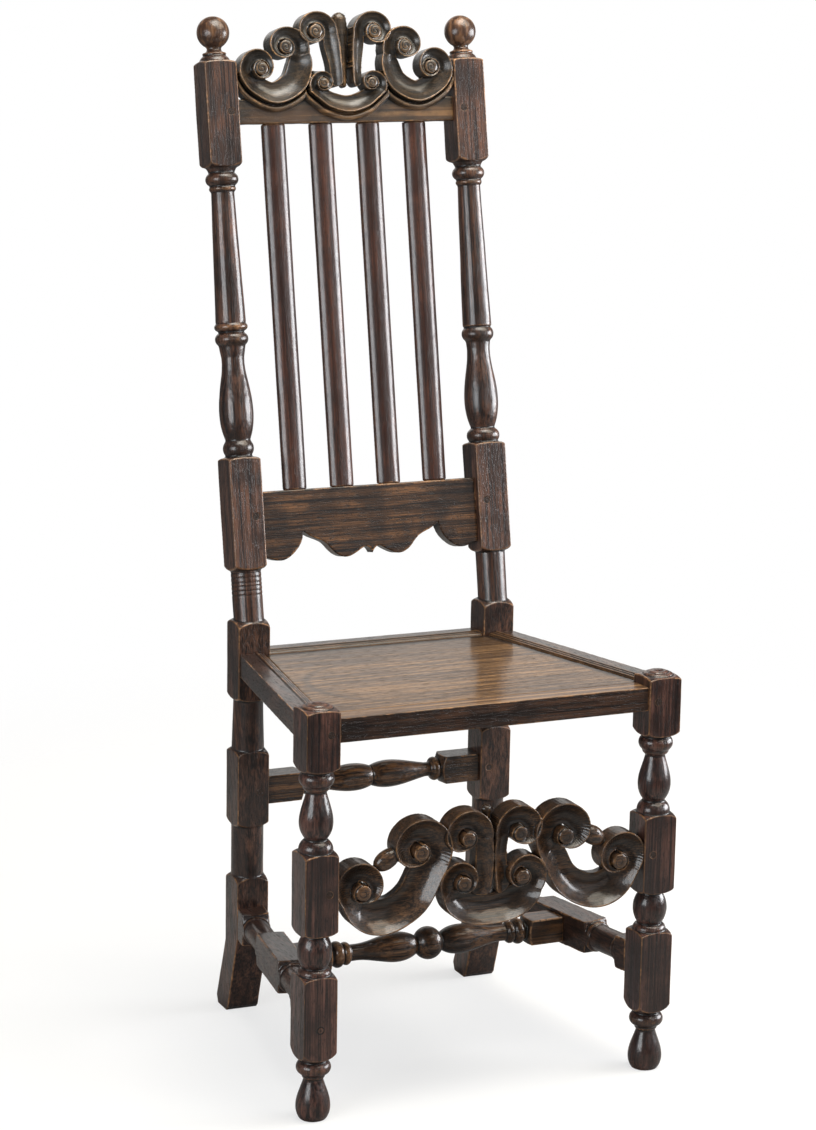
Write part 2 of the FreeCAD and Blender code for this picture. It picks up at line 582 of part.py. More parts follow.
front_face = -HALF + FRONT_RAIL_SET
front_rail = box(-FRONT_HALF, FRONT_HALF, front_face, front_face + FRONT_RAIL_W, -RAIL_H, 0)
back_front = SEAT_DEPTH / math.cos(SEAT_SLOPE) + 15.0 - BACK_RAIL_W
back_rail = moulded(BACK_RAIL_W, RAIL_H).extrude(V(2 * BACK_HALF, 0, 0))
back_rail.rotate(V(0, 0, 0), V(0, 0, 1), 180)
back_rail.translate(V(BACK_HALF, back_front + BACK_RAIL_W, 0))
side_rail = moulded(SIDE_RAIL_W, RAIL_H).extrude(V(SEAT_DEPTH + 2 * BLOCK, 0, 0))
right_rail = side_rail.copy()
right_rail.rotate(V(0, 0, 0), V(0, 0, 1), 90 + SIDE_FACE)
outer = FRONT_HALF + HALF - 1.5
reach_back = math.tan(math.radians(SIDE_FACE)) * BLOCK
right_rail.translate(V(outer + reach_back + math.tan(math.radians(SIDE_FACE)) * HALF, -BLOCK, 0))
# The rails' ends stop between the front rail and the back rail
between = box(-400, 400, front_face + FRONT_RAIL_W, back_front, -80, 80)
right_rail = right_rail.common(between)
panel_top = box(-260, 260, front_face + FRONT_RAIL_W, back_front, -PANEL_T, -0.2)
tongue_all = box(-260, 260, front_face + FRONT_RAIL_W - TONGUE, back_front + TONGUE,
                 -PANEL_T, -PANEL_T + GROOVE_T)


def inside_rails(shape, past):
    """Cuts a board to the trapezoid between the side rails, going past their inner faces."""
    inner = outer - SIDE_RAIL_W / math.cos(math.radians(SIDE_FACE)) + past
    slope = math.tan(math.radians(SIDE_FACE))
    y0, y1 = -60.0, SEAT_DEPTH + 60.0
    x0, x1 = inner - (y0 - HALF) * slope, inner - (y1 - HALF) * slope
    corners = [(-x0, y0), (x0, y0), (x1, y1), (-x1, y1), (-x0, y0)]
    prism = Part.Face(Part.makePolygon([V(x, y, -90) for x, y in corners])).extrude(V(0, 0, 180))
    return shape.common(prism)


panel = inside_rails(panel_top, -FIT).fuse(inside_rails(tongue_all, TONGUE)).removeSplitter()
groove = inside_rails(box(-260, 260, front_face + FRONT_RAIL_W - TONGUE - END_ROOM, back_front + TONGUE + END_ROOM,
                          -PANEL_T - FIT, -PANEL_T + GROOVE_T + FIT), TONGUE + END_ROOM)
seat_pieces = {"seat_rail_front": front_rail, "seat_rail_back": back_rail,
               "seat_rail_right": right_rail, "seat_rail_left": mirrored(right_rail)}
uprights = [square(side) for side in SIDES.values() for square in (leg_square, post_square)]
for piece, shape in seat_pieces.items():
    shape = moved(shape.cut(groove), SEAT)
    for upright in uprights:
        shape = shape.cut(upright)
    parts[piece] = max(shape.Solids, key=lambda solid: solid.Volume)
panel = moved(panel, SEAT)
for upright in uprights:
    grown = upright.BoundBox
    panel = panel.cut(box(grown.XMin - FIT, grown.XMax + FIT, grown.YMin - FIT, grown.YMax + FIT, 0, 600))
parts["seat_panel"] = panel

RAIL_TENON_H = 18.0
RAIL_TENON_DROP = 17.0          # tenon's middle below the seat's top
for name, side in SIDES.items():
    leg, post = "front_leg_" + name, "back_post_" + name
    front_y = front_face + FRONT_RAIL_W / 2 - 4
    at = SEAT.multiply(FreeCAD.Placement(V(side * (FRONT_HALF - HALF), front_y, -RAIL_TENON_DROP), facing(side)))
    join("seat_rail_front", leg, Tenon(at, TENON, TENON_T, RAIL_TENON_H))
    back_y = back_front + BACK_RAIL_W / 2
    at = SEAT.multiply(FreeCAD.Placement(V(side * (BACK_HALF - HALF), back_y, -RAIL_TENON_DROP), facing(side)))
    join("seat_rail_back", post, Tenon(at, TENON, TENON_T, RAIL_TENON_H))
    peg_z = SEAT_Z - RAIL_TENON_DROP
    pin("seat_front_pegs", V(side * (FRONT_HALF - 9), FRONT_Y - HALF, peg_z), V(0, 1, 0), 34.0,
        "seat_rail_front", leg)
    pin("seat_back_pegs", V(side * (BACK_HALF - 9), BACK_Y - HALF, peg_z - 12), V(0, 1, 0), 34.0,
        "seat_rail_back", post)
    slope = math.tan(math.radians(SIDE_FACE))
    middle = outer - 14.0
    turn = FreeCAD.Rotation(V(0, 0, 1), -90 + side * SIDE_FACE)
    at = SEAT.multiply(FreeCAD.Placement(V(side * middle, HALF, -RAIL_TENON_DROP), turn))
    join("seat_rail_" + name, leg, Tenon(at, 13.0, TENON_T, RAIL_TENON_H))
    at_back = V(side * (middle - (SEAT_DEPTH - BLOCK) * slope), SEAT_DEPTH - HALF, -RAIL_TENON_DROP)
    turn = FreeCAD.Rotation(V(0, 0, 1), 90 + side * SIDE_FACE)
    join("seat_rail_" + name, post, Tenon(SEAT.multiply(FreeCAD.Placement(at_back, turn)), 13.0, TENON_T,
                                          RAIL_TENON_H))

# Side stretchers: squared ends and a long squared middle, with round lengths between
SIDE_HALF_Y, SIDE_HALF_Z = 17.0, 20.0
SIDE_CORNER = 28.0
SIDE_ROUND = 16.0
MIDDLE_SQUARE = (108.0, 218.0)
for name, side in SIDES.items():
    turned = Turning(SIDE_CORNER, 0).line(SIDE_CORNER, 42).line(16.5, 47).bead(18.0, 53).line(SIDE_ROUND, 54)
    turned.line(SIDE_ROUND, 97).line(17.0, 98).bead(19.0, 104).line(SIDE_CORNER, MIDDLE_SQUARE[0])
    turned.line(SIDE_CORNER, MIDDLE_SQUARE[1]).line(17.0, 222).bead(19.0, 228).line(SIDE_ROUND, 229)
    turned.line(SIDE_ROUND, 286).line(16.5, 287).bead(18.0, 293).line(SIDE_CORNER, 299)
    turned.line(SIDE_CORNER, SIDE_LENGTH)
    bar = squared(turned, 0, SIDE_LENGTH, SIDE_HALF_Z, SIDE_HALF_Y)
    bar.rotate(V(0, 0, 0), V(0, 1, 0), 90)
    run = side_run(side, STRETCHER_Z)
    bar = moved(bar, run).cut(leg_square(side)).cut(post_square(side))
    piece = "side_stretcher_" + name
    parts[piece] = max(bar.Solids, key=lambda solid: solid.Volume)
    shoulder = HALF / math.cos(math.radians(SPLAY))
    for host, start, turn in (("front_leg_", shoulder, 180), ("back_post_", SIDE_LENGTH - shoulder, 0)):
        at = run.multiply(FreeCAD.Placement(V(start, 0, 0), FreeCAD.Rotation(V(0, 0, 1), turn)))
        join(piece, host + name, Tenon(at, TENON, TENON_T + 1, 26.0))

# Medial stretcher: square ends, ring, vases and a middle ball, tenoned into the side stretchers
MEDIAL_ALONG = 163.0            # along the side stretchers from the leg's axis
BALL_R, VASE_R = 20.0, 18.0
TURNED_END = 129.0              # half of its turned length
medial_at = side_run(1, STRETCHER_Z).multVec(V(MEDIAL_ALONG, 0, 0))
MEDIAL_HALF = 16.0


def medial():
    """Half from the middle ball out to the square end, drawn upward, and its mirror."""
    bar = Turning(BALL_R, 0).arc(BALL_R * 0.87, 9.2, 11.0, 15.5).line(11.0, 17.0)
    bar.flow((VASE_R, 40.0), (14.0, 68.0), (10.0, 99.0)).line(10.0, 103.0).line(11.0, 104.0)
    bar.bead(14.0, 113.0).line(12.0, 113.5).bead(16.0, TURNED_END - 3).line(12.0, TURNED_END - 2.5)
    bar.line(12.0, TURNED_END).line(22.5, TURNED_END + 4).line(22.5, medial_at.x)
    half = squared(bar, 0, medial_at.x, MEDIAL_HALF, MEDIAL_HALF)
    half = half.fuse(bar.solid().common(box(-30, 30, -30, 30, 0, TURNED_END)))
    half.rotate(V(0, 0, 0), V(0, 1, 0), 90)
    return half.fuse(mirrored(half)).removeSplitter()


medial_bar = medial()
medial_bar.translate(V(0, medial_at.y, medial_at.z))
for name in SIDES:
    medial_bar = medial_bar.cut(parts["side_stretcher_" + name])
parts["medial_stretcher"] = max(medial_bar.Solids, key=lambda solid: solid.Volume)
for name, side in SIDES.items():
    face_x = medial_at.x - SIDE_HALF_Y / math.cos(math.radians(SPLAY))
    at = FreeCAD.Placement(V(side * face_x, medial_at.y, medial_at.z), facing(side))
    join("medial_stretcher", "side_stretcher_" + name, Tenon(at, 20.0, TENON_T, 22.0))

# Rear stretcher: square ends, rings and two vases that meet in the middle
REAR_Z = 291.0 * RISE
REAR_HALF = 17.5


def rear():
    """Half from the middle out to the square end, drawn upward, and its mirror."""
    bar = Turning(11.0, 0).line(13.0, 1.0)
    bar.flow((17.0, 30.0), (13.5, 52.0), (8.8, 74.0)).line(8.8, 80.0).line(11.5, 82.0)
    bar.bead(15.0, 92.0).line(13.0, 93.0).line(25.0, 99.0).line(25.0, BACK_HALF)
    half = squared(bar, 0, BACK_HALF, REAR_HALF, REAR_HALF - 2)
    half.rotate(V(0, 0, 0), V(0, 1, 0), 90)
    return half.fuse(mirrored(half)).removeSplitter()


rear_bar = rear()
rear_bar.translate(V(0, BACK_Y, REAR_Z))
for side in SIDES.values():
    rear_bar = rear_bar.cut(post_square(side))
parts["rear_stretcher"] = rear_bar
for name, side in SIDES.items():
    at = FreeCAD.Placement(V(side * (BACK_HALF - HALF), BACK_Y, REAR_Z), facing(side))
    join("rear_stretcher", "back_post_" + name, Tenon(at, TENON, TENON_T, 26.0))
    pin("rear_stretcher_pegs", V(side * (BACK_HALF - 9), BACK_Y - HALF, REAR_Z), V(0, 1, 0), 32.0,
        "rear_stretcher", "back_post_" + name)

for name, shape in parts.items():
    solid = Part.makeCompound(shape) if isinstance(shape, list) else shape
    solid.exportStep("parts/%s.step" % name)
    count = len(solid.Solids)
    print(name, count, "valid" if solid.isValid() else "BAD", [round(v, 1) for v in (
        solid.BoundBox.XMin, solid.BoundBox.XMax, solid.BoundBox.YMin, solid.BoundBox.YMax,
        solid.BoundBox.ZMin, solid.BoundBox.ZMax)])
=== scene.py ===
import math

import bpy
import numpy as np
from mathutils import Matrix, Vector


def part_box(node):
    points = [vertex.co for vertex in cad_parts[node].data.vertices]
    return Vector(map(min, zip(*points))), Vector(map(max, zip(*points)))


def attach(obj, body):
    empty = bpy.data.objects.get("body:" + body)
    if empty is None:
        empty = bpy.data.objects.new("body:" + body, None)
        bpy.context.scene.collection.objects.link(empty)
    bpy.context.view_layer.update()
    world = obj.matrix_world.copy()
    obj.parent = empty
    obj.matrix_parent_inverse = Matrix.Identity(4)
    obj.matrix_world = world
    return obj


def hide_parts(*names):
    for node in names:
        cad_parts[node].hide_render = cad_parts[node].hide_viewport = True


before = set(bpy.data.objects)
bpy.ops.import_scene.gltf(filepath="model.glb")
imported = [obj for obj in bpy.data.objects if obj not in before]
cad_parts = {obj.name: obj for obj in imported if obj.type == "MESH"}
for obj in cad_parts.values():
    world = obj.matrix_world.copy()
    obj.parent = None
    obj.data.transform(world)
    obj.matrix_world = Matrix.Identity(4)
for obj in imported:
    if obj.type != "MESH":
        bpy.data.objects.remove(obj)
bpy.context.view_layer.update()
scene = bpy.context.scene

# Back posts
# Each is one oak timber, sawn with its rake, squared where rails join it and turned between.
# Three centuries of hands and wax have rounded every arris and left the turned rings uneven.
MM = 0.001


def as_arrays(mesh):
    """Places and normals of a mesh's points, and the pairs of points that its edges join."""
    count = len(mesh.vertices)
    place, normal = np.empty(count * 3), np.empty(count * 3)
    mesh.vertices.foreach_get("co", place)
    mesh.vertices.foreach_get("normal", normal)
    pairs = np.empty(len(mesh.edges) * 2, int)
    mesh.edges.foreach_get("vertices", pairs)
    return place.reshape(-1, 3), normal.reshape(-1, 3), pairs.reshape(-1, 2)


def beside(values, pairs):
    """Mean of each point's neighbours."""
    values = values.reshape(len(values), -1)
    a, b = np.concatenate([pairs[:, 0], pairs[:, 1]]), np.concatenate([pairs[:, 1], pairs[:, 0]])
    number = np.maximum(np.bincount(a, minlength=len(values)), 1)
    sums = [np.bincount(a, weights=column[b], minlength=len(values)) for column in values.T]
    return (np.array(sums) / number).T


def unevenness(place, seed, length, waves=14):
    """Slow ups and downs about 1 high and a length apart, the same on every run."""
    draw = np.random.default_rng(seed)
    total = np.zeros(len(place))
    for _ in range(waves):
        way = draw.normal(size=3)
        way *= 2 * math.pi / length * draw.uniform(0.5, 1.6) / np.linalg.norm(way)
        total += np.sin(place @ way + draw.uniform(0, 2 * math.pi))
    return total / math.sqrt(waves)


def store_bend(mesh, passes=3):
    """Stores how sharply the surface turns out or in, per metre, for the finish to read."""
    place, normal, pairs = as_arrays(mesh)
    step = np.linalg.norm(place[pairs[:, 0]] - place[pairs[:, 1]], axis=1).mean()
    bend = -((beside(place, pairs) - place) * normal).sum(1) * 2 / step ** 2
    for _ in range(passes):
        bend = 0.4 * bend + 0.6 * beside(bend, pairs)[:, 0]
    layer = mesh.attributes.new("bend", "FLOAT", "POINT")
    layer.data.foreach_set("value", bend.astype(np.float32))


def finish_piece(piece, slot, material, *nodes):
    """Hangs a finished piece on the chair in place of the solids that it stands for."""
    piece.data.materials.clear()
    piece.data.materials.append(material)
    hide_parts(*nodes)
    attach(piece, "root")
    return piece


def even_mesh(piece, voxel, soften):
    """Remeshes a piece evenly and rounds its arrises."""
    even = piece.modifiers.new("even", "REMESH")
    even.mode, even.voxel_size = "VOXEL", voxel
    wear = piece.modifiers.new("wear", "SMOOTH")
    wear.factor, wear.iterations = 0.5, soften
    piece.data = bpy.data.meshes.new_from_object(
        piece.evaluated_get(bpy.context.evaluated_depsgraph_get()))
    piece.modifiers.clear()


def copy_of(node):
    """Copy of a solid, to be dressed in its place."""
    piece = bpy.data.objects.new(node + "_worn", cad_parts[node].data.copy())
    scene.collection.objects.link(piece)
    return piece


SLOW_DENT, QUICK_DENT = 50 * MM, 14 * MM             # how far apart the knocks lie
SCORE_DEPTH, SCORE_WIDTH = 0.55 * MM, 0.75 * MM


def worn(node, slot, material, voxel=1.0 * MM, soften=3, knocks=0.14 * MM, drawn=(1, 1, 0.4), marks=()):
    """Hand-worn copy of a solid, knocked and rounded, its dents drawn out along the grain.

    A mark is a scored line: its middle in mm, the way it faces and the radius of its ring, or
    None where it runs right round the timber.
    """
    piece = copy_of(node)
    even_mesh(piece, voxel, soften)
    seed = sum(map(ord, node))
    place, normal, _ = as_arrays(piece.data)
    dents = unevenness(place * drawn, seed, SLOW_DENT)
    dents += 0.4 * unevenness(place * drawn, seed + 1, QUICK_DENT)
    lift = knocks * dents
    for middle, facing, radius in marks:
        spoke = place - np.array(middle) * MM
        away = spoke @ np.array(facing)
        if radius:
            around = np.linalg.norm(spoke - np.outer(away, facing), axis=1) - radius * MM
            away = np.hypot(away, around)
        lift -= SCORE_DEPTH * np.exp(-(away / SCORE_WIDTH) ** 2)
    piece.data.vertices.foreach_set("co", (place + normal * lift[:, None]).ravel())
    piece.data.update()
    store_bend(piece.data)
    piece.data.shade_smooth()
    return finish_piece(piece, slot, material, node)


def socket(tree, name, kind, way, default=None):
    """Adds a named socket to a node group."""
    made = tree.interface.new_socket(name=name, socket_type=kind, in_out=way)
    if default is not None:
        made.default_value = default
    return made


def link(tree, start, end):
    tree.links.new(start, end)


def noise(tree, vector, scale, detail):
    node = tree.nodes.new("ShaderNodeTexNoise")
    node.inputs["Scale"].default_value = scale
    node.inputs["Detail"].default_value = detail
    link(tree, vector, node.inputs["Vector"])
    return node.outputs["Fac"]


def stretched(tree, vector, across, along):
    """The grain's space, drawn out along its Z."""
    node = tree.nodes.new("ShaderNodeVectorMath")
    node.operation = "MULTIPLY"
    node.inputs[1].default_value = (across, across, along)
    link(tree, vector, node.inputs[0])
    return node.outputs[0]


def between(tree, value, low, high):
    """Value from 0 at low to 1 at high, eased at both ends."""
    node = tree.nodes.new("ShaderNodeMapRange")
    node.interpolation_type = "SMOOTHSTEP"
    node.inputs["From Min"].default_value = low
    node.inputs["From Max"].default_value = high
    link(tree, value, node.inputs["Value"])
    return node.outputs["Result"]


def maths(tree, operation, first, second):
    node = tree.nodes.new("ShaderNodeMath")
    node.operation = operation
    node.use_clamp = True
    for place, value in enumerate((first, second)):
        if isinstance(value, (int, float)):
            node.inputs[place].default_value = value
        else:
            link(tree, value, node.inputs[place])
    return node.outputs[0]


def times(tree, first, second):
    return maths(tree, "MULTIPLY", first, second)


# Waves per metre across and along the grain, and the noise's levels where each mark starts and is full
GRAIN = {"Bands": (150, 3.5, 0.42, 0.62), "Streaks": (560, 9, 0.40, 0.62), "Pores": (1000, 80, 0.54, 0.64)}
SPLIT_WIDTH = 0.0045


def oak_grain_group():
    """Oak's figure along the group's Z: broad bands, fine streaks, open pores and hair splits."""
    tree = bpy.data.node_groups.new("oak_grain", "ShaderNodeTree")
    socket(tree, "Vector", "NodeSocketVector", "INPUT")
    for name in (*GRAIN, "Splits"):
        socket(tree, name, "NodeSocketFloat", "OUTPUT")
    enter, leave = tree.nodes.new("NodeGroupInput"), tree.nodes.new("NodeGroupOutput")
    vector = enter.outputs["Vector"]
    for name, (across, along, low, high) in GRAIN.items():
        pattern = noise(tree, stretched(tree, vector, across, along), 1.0, 2)
        link(tree, between(tree, pattern, low, high), leave.inputs[name])
    seam = noise(tree, stretched(tree, vector, 90, 5), 1.0, 5)
    apart = tree.nodes.new("ShaderNodeMath")
    apart.operation = "COMPARE"
    apart.inputs[1].default_value, apart.inputs[2].default_value = 0.5, SPLIT_WIDTH
    link(tree, seam, apart.inputs[0])
    here = between(tree, noise(tree, stretched(tree, vector, 30, 9), 1.0, 2), 0.5, 0.6)
    link(tree, times(tree, apart.outputs[0], here), leave.inputs["Splits"])
    return tree


def handling_group():
    """Where hands wore the edges bright, and where wax and dust gathered in the hollows, which are also
    darkened as painted shade.
    """
    tree = bpy.data.node_groups.new("handling", "ShaderNodeTree")
    socket(tree, "Vector", "NodeSocketVector", "INPUT")
    socket(tree, "Even", "NodeSocketFloat", "INPUT", 0.0)
    for name in ("Worn", "GrimeAndShade", "Patch", "Dents"):
        socket(tree, name, "NodeSocketFloat", "OUTPUT")
    enter, leave = tree.nodes.new("NodeGroupInput"), tree.nodes.new("NodeGroupOutput")
    bend = tree.nodes.new("ShaderNodeAttribute")
    bend.attribute_name = "bend"
    patch = noise(tree, enter.outputs["Vector"], 38, 4)
    fine = noise(tree, enter.outputs["Vector"], 260, 3)
    mottle = times(tree, between(tree, patch, 0.40, 0.62), between(tree, fine, 0.30, 0.62))
    mottle = maths(tree, "MAXIMUM", mottle, enter.outputs["Even"])
    ridge = between(tree, bend.outputs["Fac"], 52, 180)
    link(tree, times(tree, ridge, mottle), leave.inputs["Worn"])
    # GrimeAndShade darkens the hollows: wax and dust there, and painted shade.
    dip = tree.nodes.new("ShaderNodeMath")
    dip.operation = "MULTIPLY"
    dip.inputs[1].default_value = -1.0
    link(tree, bend.outputs["Fac"], dip.inputs[0])
    link(tree, between(tree, dip.outputs[0], 18, 120), leave.inputs["GrimeAndShade"])
    pits = noise(tree, enter.outputs["Vector"], 330, 4)
    link(tree, between(tree, pits, 0.56, 0.72), leave.inputs["Dents"])
    clouds = noise(tree, enter.outputs["Vector"], 22, 6)
    link(tree, between(tree, clouds, 0.42, 0.62), leave.inputs["Patch"])
    return tree


oak_grain, handling = oak_grain_group(), handling_group()
RAKE = math.radians(10.75)
GRAIN_TURNS = {"Z": (0, 0, 0), "X": (0, math.pi / 2, 0), "Y": (math.pi / 2, 0, 0), "lean": (RAKE, 0, 0)}


def mixed(tree, factor, low, high):
    """Colour between two others."""
    node = tree.nodes.new("ShaderNodeMix")
    node.data_type = "RGBA"
    sockets = [s for s in node.inputs if s.enabled]
    link(tree, factor, sockets[0])
    for target, value in zip(sockets[1:], (low, high)):
        if isinstance(value, tuple):
            target.default_value = (*value, 1)
        else:
            link(tree, value, target)
    return [s for s in node.outputs if s.enabled][0]


def oak(name, grain, dark, brown, worn_tone, rough, coat, wear=0.85, pore_depth=0.6, even=0.0,
        blur=0.14, patches=0.7):
    """Waxed oak: grain along one axis, bright worn edges, black grime and painted shade in the hollows."""
    material = bpy.data.materials.new(name)
    material.use_nodes = True
    tree = material.node_tree
    shader = tree.nodes["Principled BSDF"]
    coordinates = tree.nodes.new("ShaderNodeTexCoord")
    own = tree.nodes.new("ShaderNodeObjectInfo")
    shift = tree.nodes.new("ShaderNodeVectorMath")
    shift.operation = "ADD"
    link(tree, coordinates.outputs["Object"], shift.inputs[0])
    link(tree, own.outputs["Random"], shift.inputs[1])
    turn = tree.nodes.new("ShaderNodeMapping")
    turn.inputs["Rotation"].default_value = GRAIN_TURNS[grain]
    link(tree, shift.outputs[0], turn.inputs["Vector"])
    figure, hands = tree.nodes.new("ShaderNodeGroup"), tree.nodes.new("ShaderNodeGroup")
    figure.node_tree, hands.node_tree = oak_grain, handling
    link(tree, turn.outputs["Vector"], figure.inputs["Vector"])
    link(tree, shift.outputs[0], hands.inputs["Vector"])
    hands.inputs["Even"].default_value = even
    tone = maths(tree, "ADD", times(tree, figure.outputs["Bands"], 0.5),
                 times(tree, figure.outputs["Streaks"], 0.55))
    colour = mixed(tree, tone, dark, brown)
    # Near black for pores, splits and dents, and in the hollows also painted shade.
    soot_and_shade = tuple(0.35 * c for c in dark)
    for mask, strength, tint in (
            (figure.outputs["Pores"], 0.75, soot_and_shade), (figure.outputs["Splits"], 0.85, soot_and_shade),
            (hands.outputs["Patch"], patches, dark), (hands.outputs["Worn"], wear, worn_tone),
            (hands.outputs["Dents"], 0.45, soot_and_shade), (hands.outputs["GrimeAndShade"], 0.93, soot_and_shade)):
        colour = mixed(tree, times(tree, mask, strength), colour, tint)
    link(tree, colour, shader.inputs["Base Color"])
    roughness = maths(tree, "ADD", times(tree, figure.outputs["Pores"], 0.25), rough)
    roughness = maths(tree, "ADD", roughness, times(tree, hands.outputs["GrimeAndShade"], 0.2))
    link(tree, roughness, shader.inputs["Roughness"])
    shader.inputs["Specular IOR Level"].default_value = 0.3
    shader.inputs["Coat Weight"].default_value = coat
    shader.inputs["Coat Roughness"].default_value = blur
    height = maths(tree, "SUBTRACT", 1.0, times(tree, figure.outputs["Pores"], 0.7))
    streaked = maths(tree, "ADD", times(tree, figure.outputs["Streaks"], 0.15), 0.85)
    height = times(tree, height, streaked)
    height = maths(tree, "SUBTRACT", height, times(tree, figure.outputs["Splits"], 0.9))
    height = maths(tree, "SUBTRACT", height, times(tree, hands.outputs["Dents"], 0.5))
    bump = tree.nodes.new("ShaderNodeBump")
    bump.inputs["Strength"].default_value = pore_depth
    bump.inputs["Distance"].default_value = 0.4 * MM
    link(tree, height, bump.inputs["Height"])
    link(tree, bump.outputs["Normal"], shader.inputs["Normal"])
    return material


def spot_on(material):
    """Place on the piece that an oak covers, whole and as its X, Y and Z."""
    tree = material.node_tree
    spot, parts = tree.nodes.new("ShaderNodeTexCoord"), tree.nodes.new("ShaderNodeSeparateXYZ")
    link(tree, spot.outputs["Object"], parts.inputs[0])
    return spot.outputs["Object"], parts.outputs


def bands_of(material):
    """The broad bands of an oak's grain."""
    groups = [node for node in material.node_tree.nodes if node.type == "GROUP"]
    return [node for node in groups if node.node_tree == oak_grain][0].outputs["Bands"]


def tone_over(material, mask, tone):
    """Lays a tone over an oak's own colour where a mask says."""
    tree = material.node_tree
    colour = tree.nodes["Principled BSDF"].inputs["Base Color"]
    link(tree, mixed(tree, mask, colour.links[0].from_socket, tone), colour)


DARK, BROWN, ORANGE = (0.010, 0.0054, 0.0046), (0.120, 0.055, 0.034), (0.36, 0.18, 0.078)
BEND_HEIGHT = 508.0              # where the posts start to lean
BACK_HALF = 164.0                # from the middle to the posts' axes
SEAT_DEPTH = 342.8               # from the front legs' axes to the posts'
leg_low, leg_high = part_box("front_leg_left")
FRONT_AXIS = (leg_low[1] + leg_high[1]) / 2 / MM
BACK_AXIS = FRONT_AXIS + SEAT_DEPTH
SCORE_PLACES = (27, 32.5, 38, 42.5, 48.5, 54)        # along the lean, above the bend
lean = (0, math.sin(RAKE), math.cos(RAKE))
scores = [((-BACK_HALF, BACK_AXIS + s * lean[1], BEND_HEIGHT + s * lean[2]), lean, None)
          for s in SCORE_PLACES]
oak_upright = oak("oak_upright", "lean", DARK, BROWN, ORANGE, 0.32, 0.6, blur=0.22, even=0.3)
post_tree = oak_upright.node_tree
FINIAL_FOOT, FINIAL_BALL = 1.172, 1.19               # the finials are painted paler above these heights: painted sheen, and wood that hands rub pale
# Painted sheen: the finials' tops are painted paler, also where hands rub them.
finial = between(post_tree, spot_on(oak_upright)[1]["Z"], FINIAL_FOOT, FINIAL_BALL)
finial_sheen_tone = mixed(post_tree, bands_of(oak_upright), (0.07, 0.032, 0.016), (0.30, 0.15, 0.068))
tone_over(oak_upright, times(post_tree, finial, 0.45), finial_sheen_tone)
worn("back_post_left", "oak_dark", oak_upright, marks=scores)
worn("back_post_right", "oak_dark", oak_upright)

# Front legs
# Turned from square oak, with a vase foot, a ball, a pear and a domed cap of three rings.
# The blocks are left square for the mortises of the rails and stretchers.
BLOCK_HALF = 20.5                # half of a squared timber
PLUG_HEIGHT, PLUG_RADIUS = 112, 4.2                  # a filled hole low on the left leg's front
leg_middle = (leg_low[0] + leg_high[0]) / 2 / MM
oak_leg = oak("oak_leg", "Z", (0.0105, 0.0052, 0.0047), (0.125, 0.056, 0.041), ORANGE, 0.3, 0.55,
              blur=0.17, even=0.3)
plug = [((leg_middle, FRONT_AXIS - BLOCK_HALF, PLUG_HEIGHT), (0, 1, 0), PLUG_RADIUS)]
worn("front_leg_left", "oak_dark", oak_leg, voxel=0.75 * MM, soften=1, marks=plug)
worn("front_leg_right", "oak_dark", oak_leg, voxel=0.75 * MM, soften=1)

# Crest rail
# One oak board, sawn, pierced and carved: ribbons hollowed with a gouge curl into volutes
# round raised eyes, above a moulded step on the plain rail, whose tenons are pegged in the posts.
GRID = 0.6                       # spacing of the carving's surface points
FAR = 50.0                       # stands for no surface at all
BRIM = 1.3                       # flat that is left outside a gouged hollow
VOLUTE_RISE = 0.2                # how far a ribbon climbs as it winds round its eye
STEP_AWAY, STEP_HALF, STEP_TALL = 5.8, 3.9, 6.5      # the moulded step beside the ribbons
ARCH_IN, ARCH_OUT = 3.0, 9.6     # how far the plain rail follows an arch, inside and outside it


def eased(values, turns):
    """Smooth run through evenly spaced values."""
    values = np.asarray(values, float)
    values = np.concatenate([values[:1], values, values[-1:]])
    i = np.clip(np.floor(turns).astype(int), 0, len(values) - 4)
    t = turns - i
    p0, p1, p2, p3 = (values[i + k] for k in range(4))
    t = t.reshape(t.shape + (1,) * (p0.ndim - 1))
    return 0.5 * (2 * p1 + (p2 - p0) * t + (2 * p0 - 5 * p1 + 4 * p2 - p3) * t ** 2
                  + (3 * p1 - p0 - 3 * p2 + p3) * t ** 3)


INNER_TURN = (1.04, 0.94, 0.88, 0.84, 0.8, 0.78, 0.76)  # a volute's last quarters, as shares of its ring


def volute(eye, radii, entry, turn, ring):
    """Middle line, half widths and rise of a ribbon that winds once round its eye."""
    outer = list(radii) + [ring * share for share in INNER_TURN]
    quarter = np.linspace(0, 5.2, 140)
    far = eased(outer, quarter)
    near = eased(outer, quarter + 4)
    angle = math.radians(entry) + turn * quarter * math.pi / 2
    middle = (far + near) / 2
    points = np.stack([eye[0] + middle * np.cos(angle), eye[1] + middle * np.sin(angle)], 1)
    return points, (far - near) / 2, np.clip((quarter - 2.0) / 3, 0, 1)


def ribbon(start, band, end):
    """Whole ribbon: out of one volute, along the band and into the other."""
    rows = []
    if start:
        rows.append(np.column_stack([*start[0].T, start[1], start[2]])[::-1])
    knots = [list(b) + [0.0] for b in band]
    if start:
        knots = [list(start[0][0]) + [start[1][0], 0.0]] + knots
    if end:
        knots = knots + [list(end[0][0]) + [end[1][0], 0.0]]
    rows.append(eased(knots, np.linspace(0, len(knots) - 1, 60 * len(knots))))
    if end:
        rows.append(np.column_stack([*end[0].T, end[1], end[2]]))
    return np.concatenate(rows)


def flipped(row):
    """The same ribbon on the other side of the middle."""
    return row * np.array([-1, 1, 1, 1])


def spanning(curl, side, middle):
    """Ribbon across the middle, from a curl's mirror image to the curl."""
    mirrored = (curl[0] * np.array([-1, 1]), curl[1], curl[2])
    return ribbon(mirrored, [(-x, z, half) for x, z, half in side] + [middle] + side[::-1], curl)


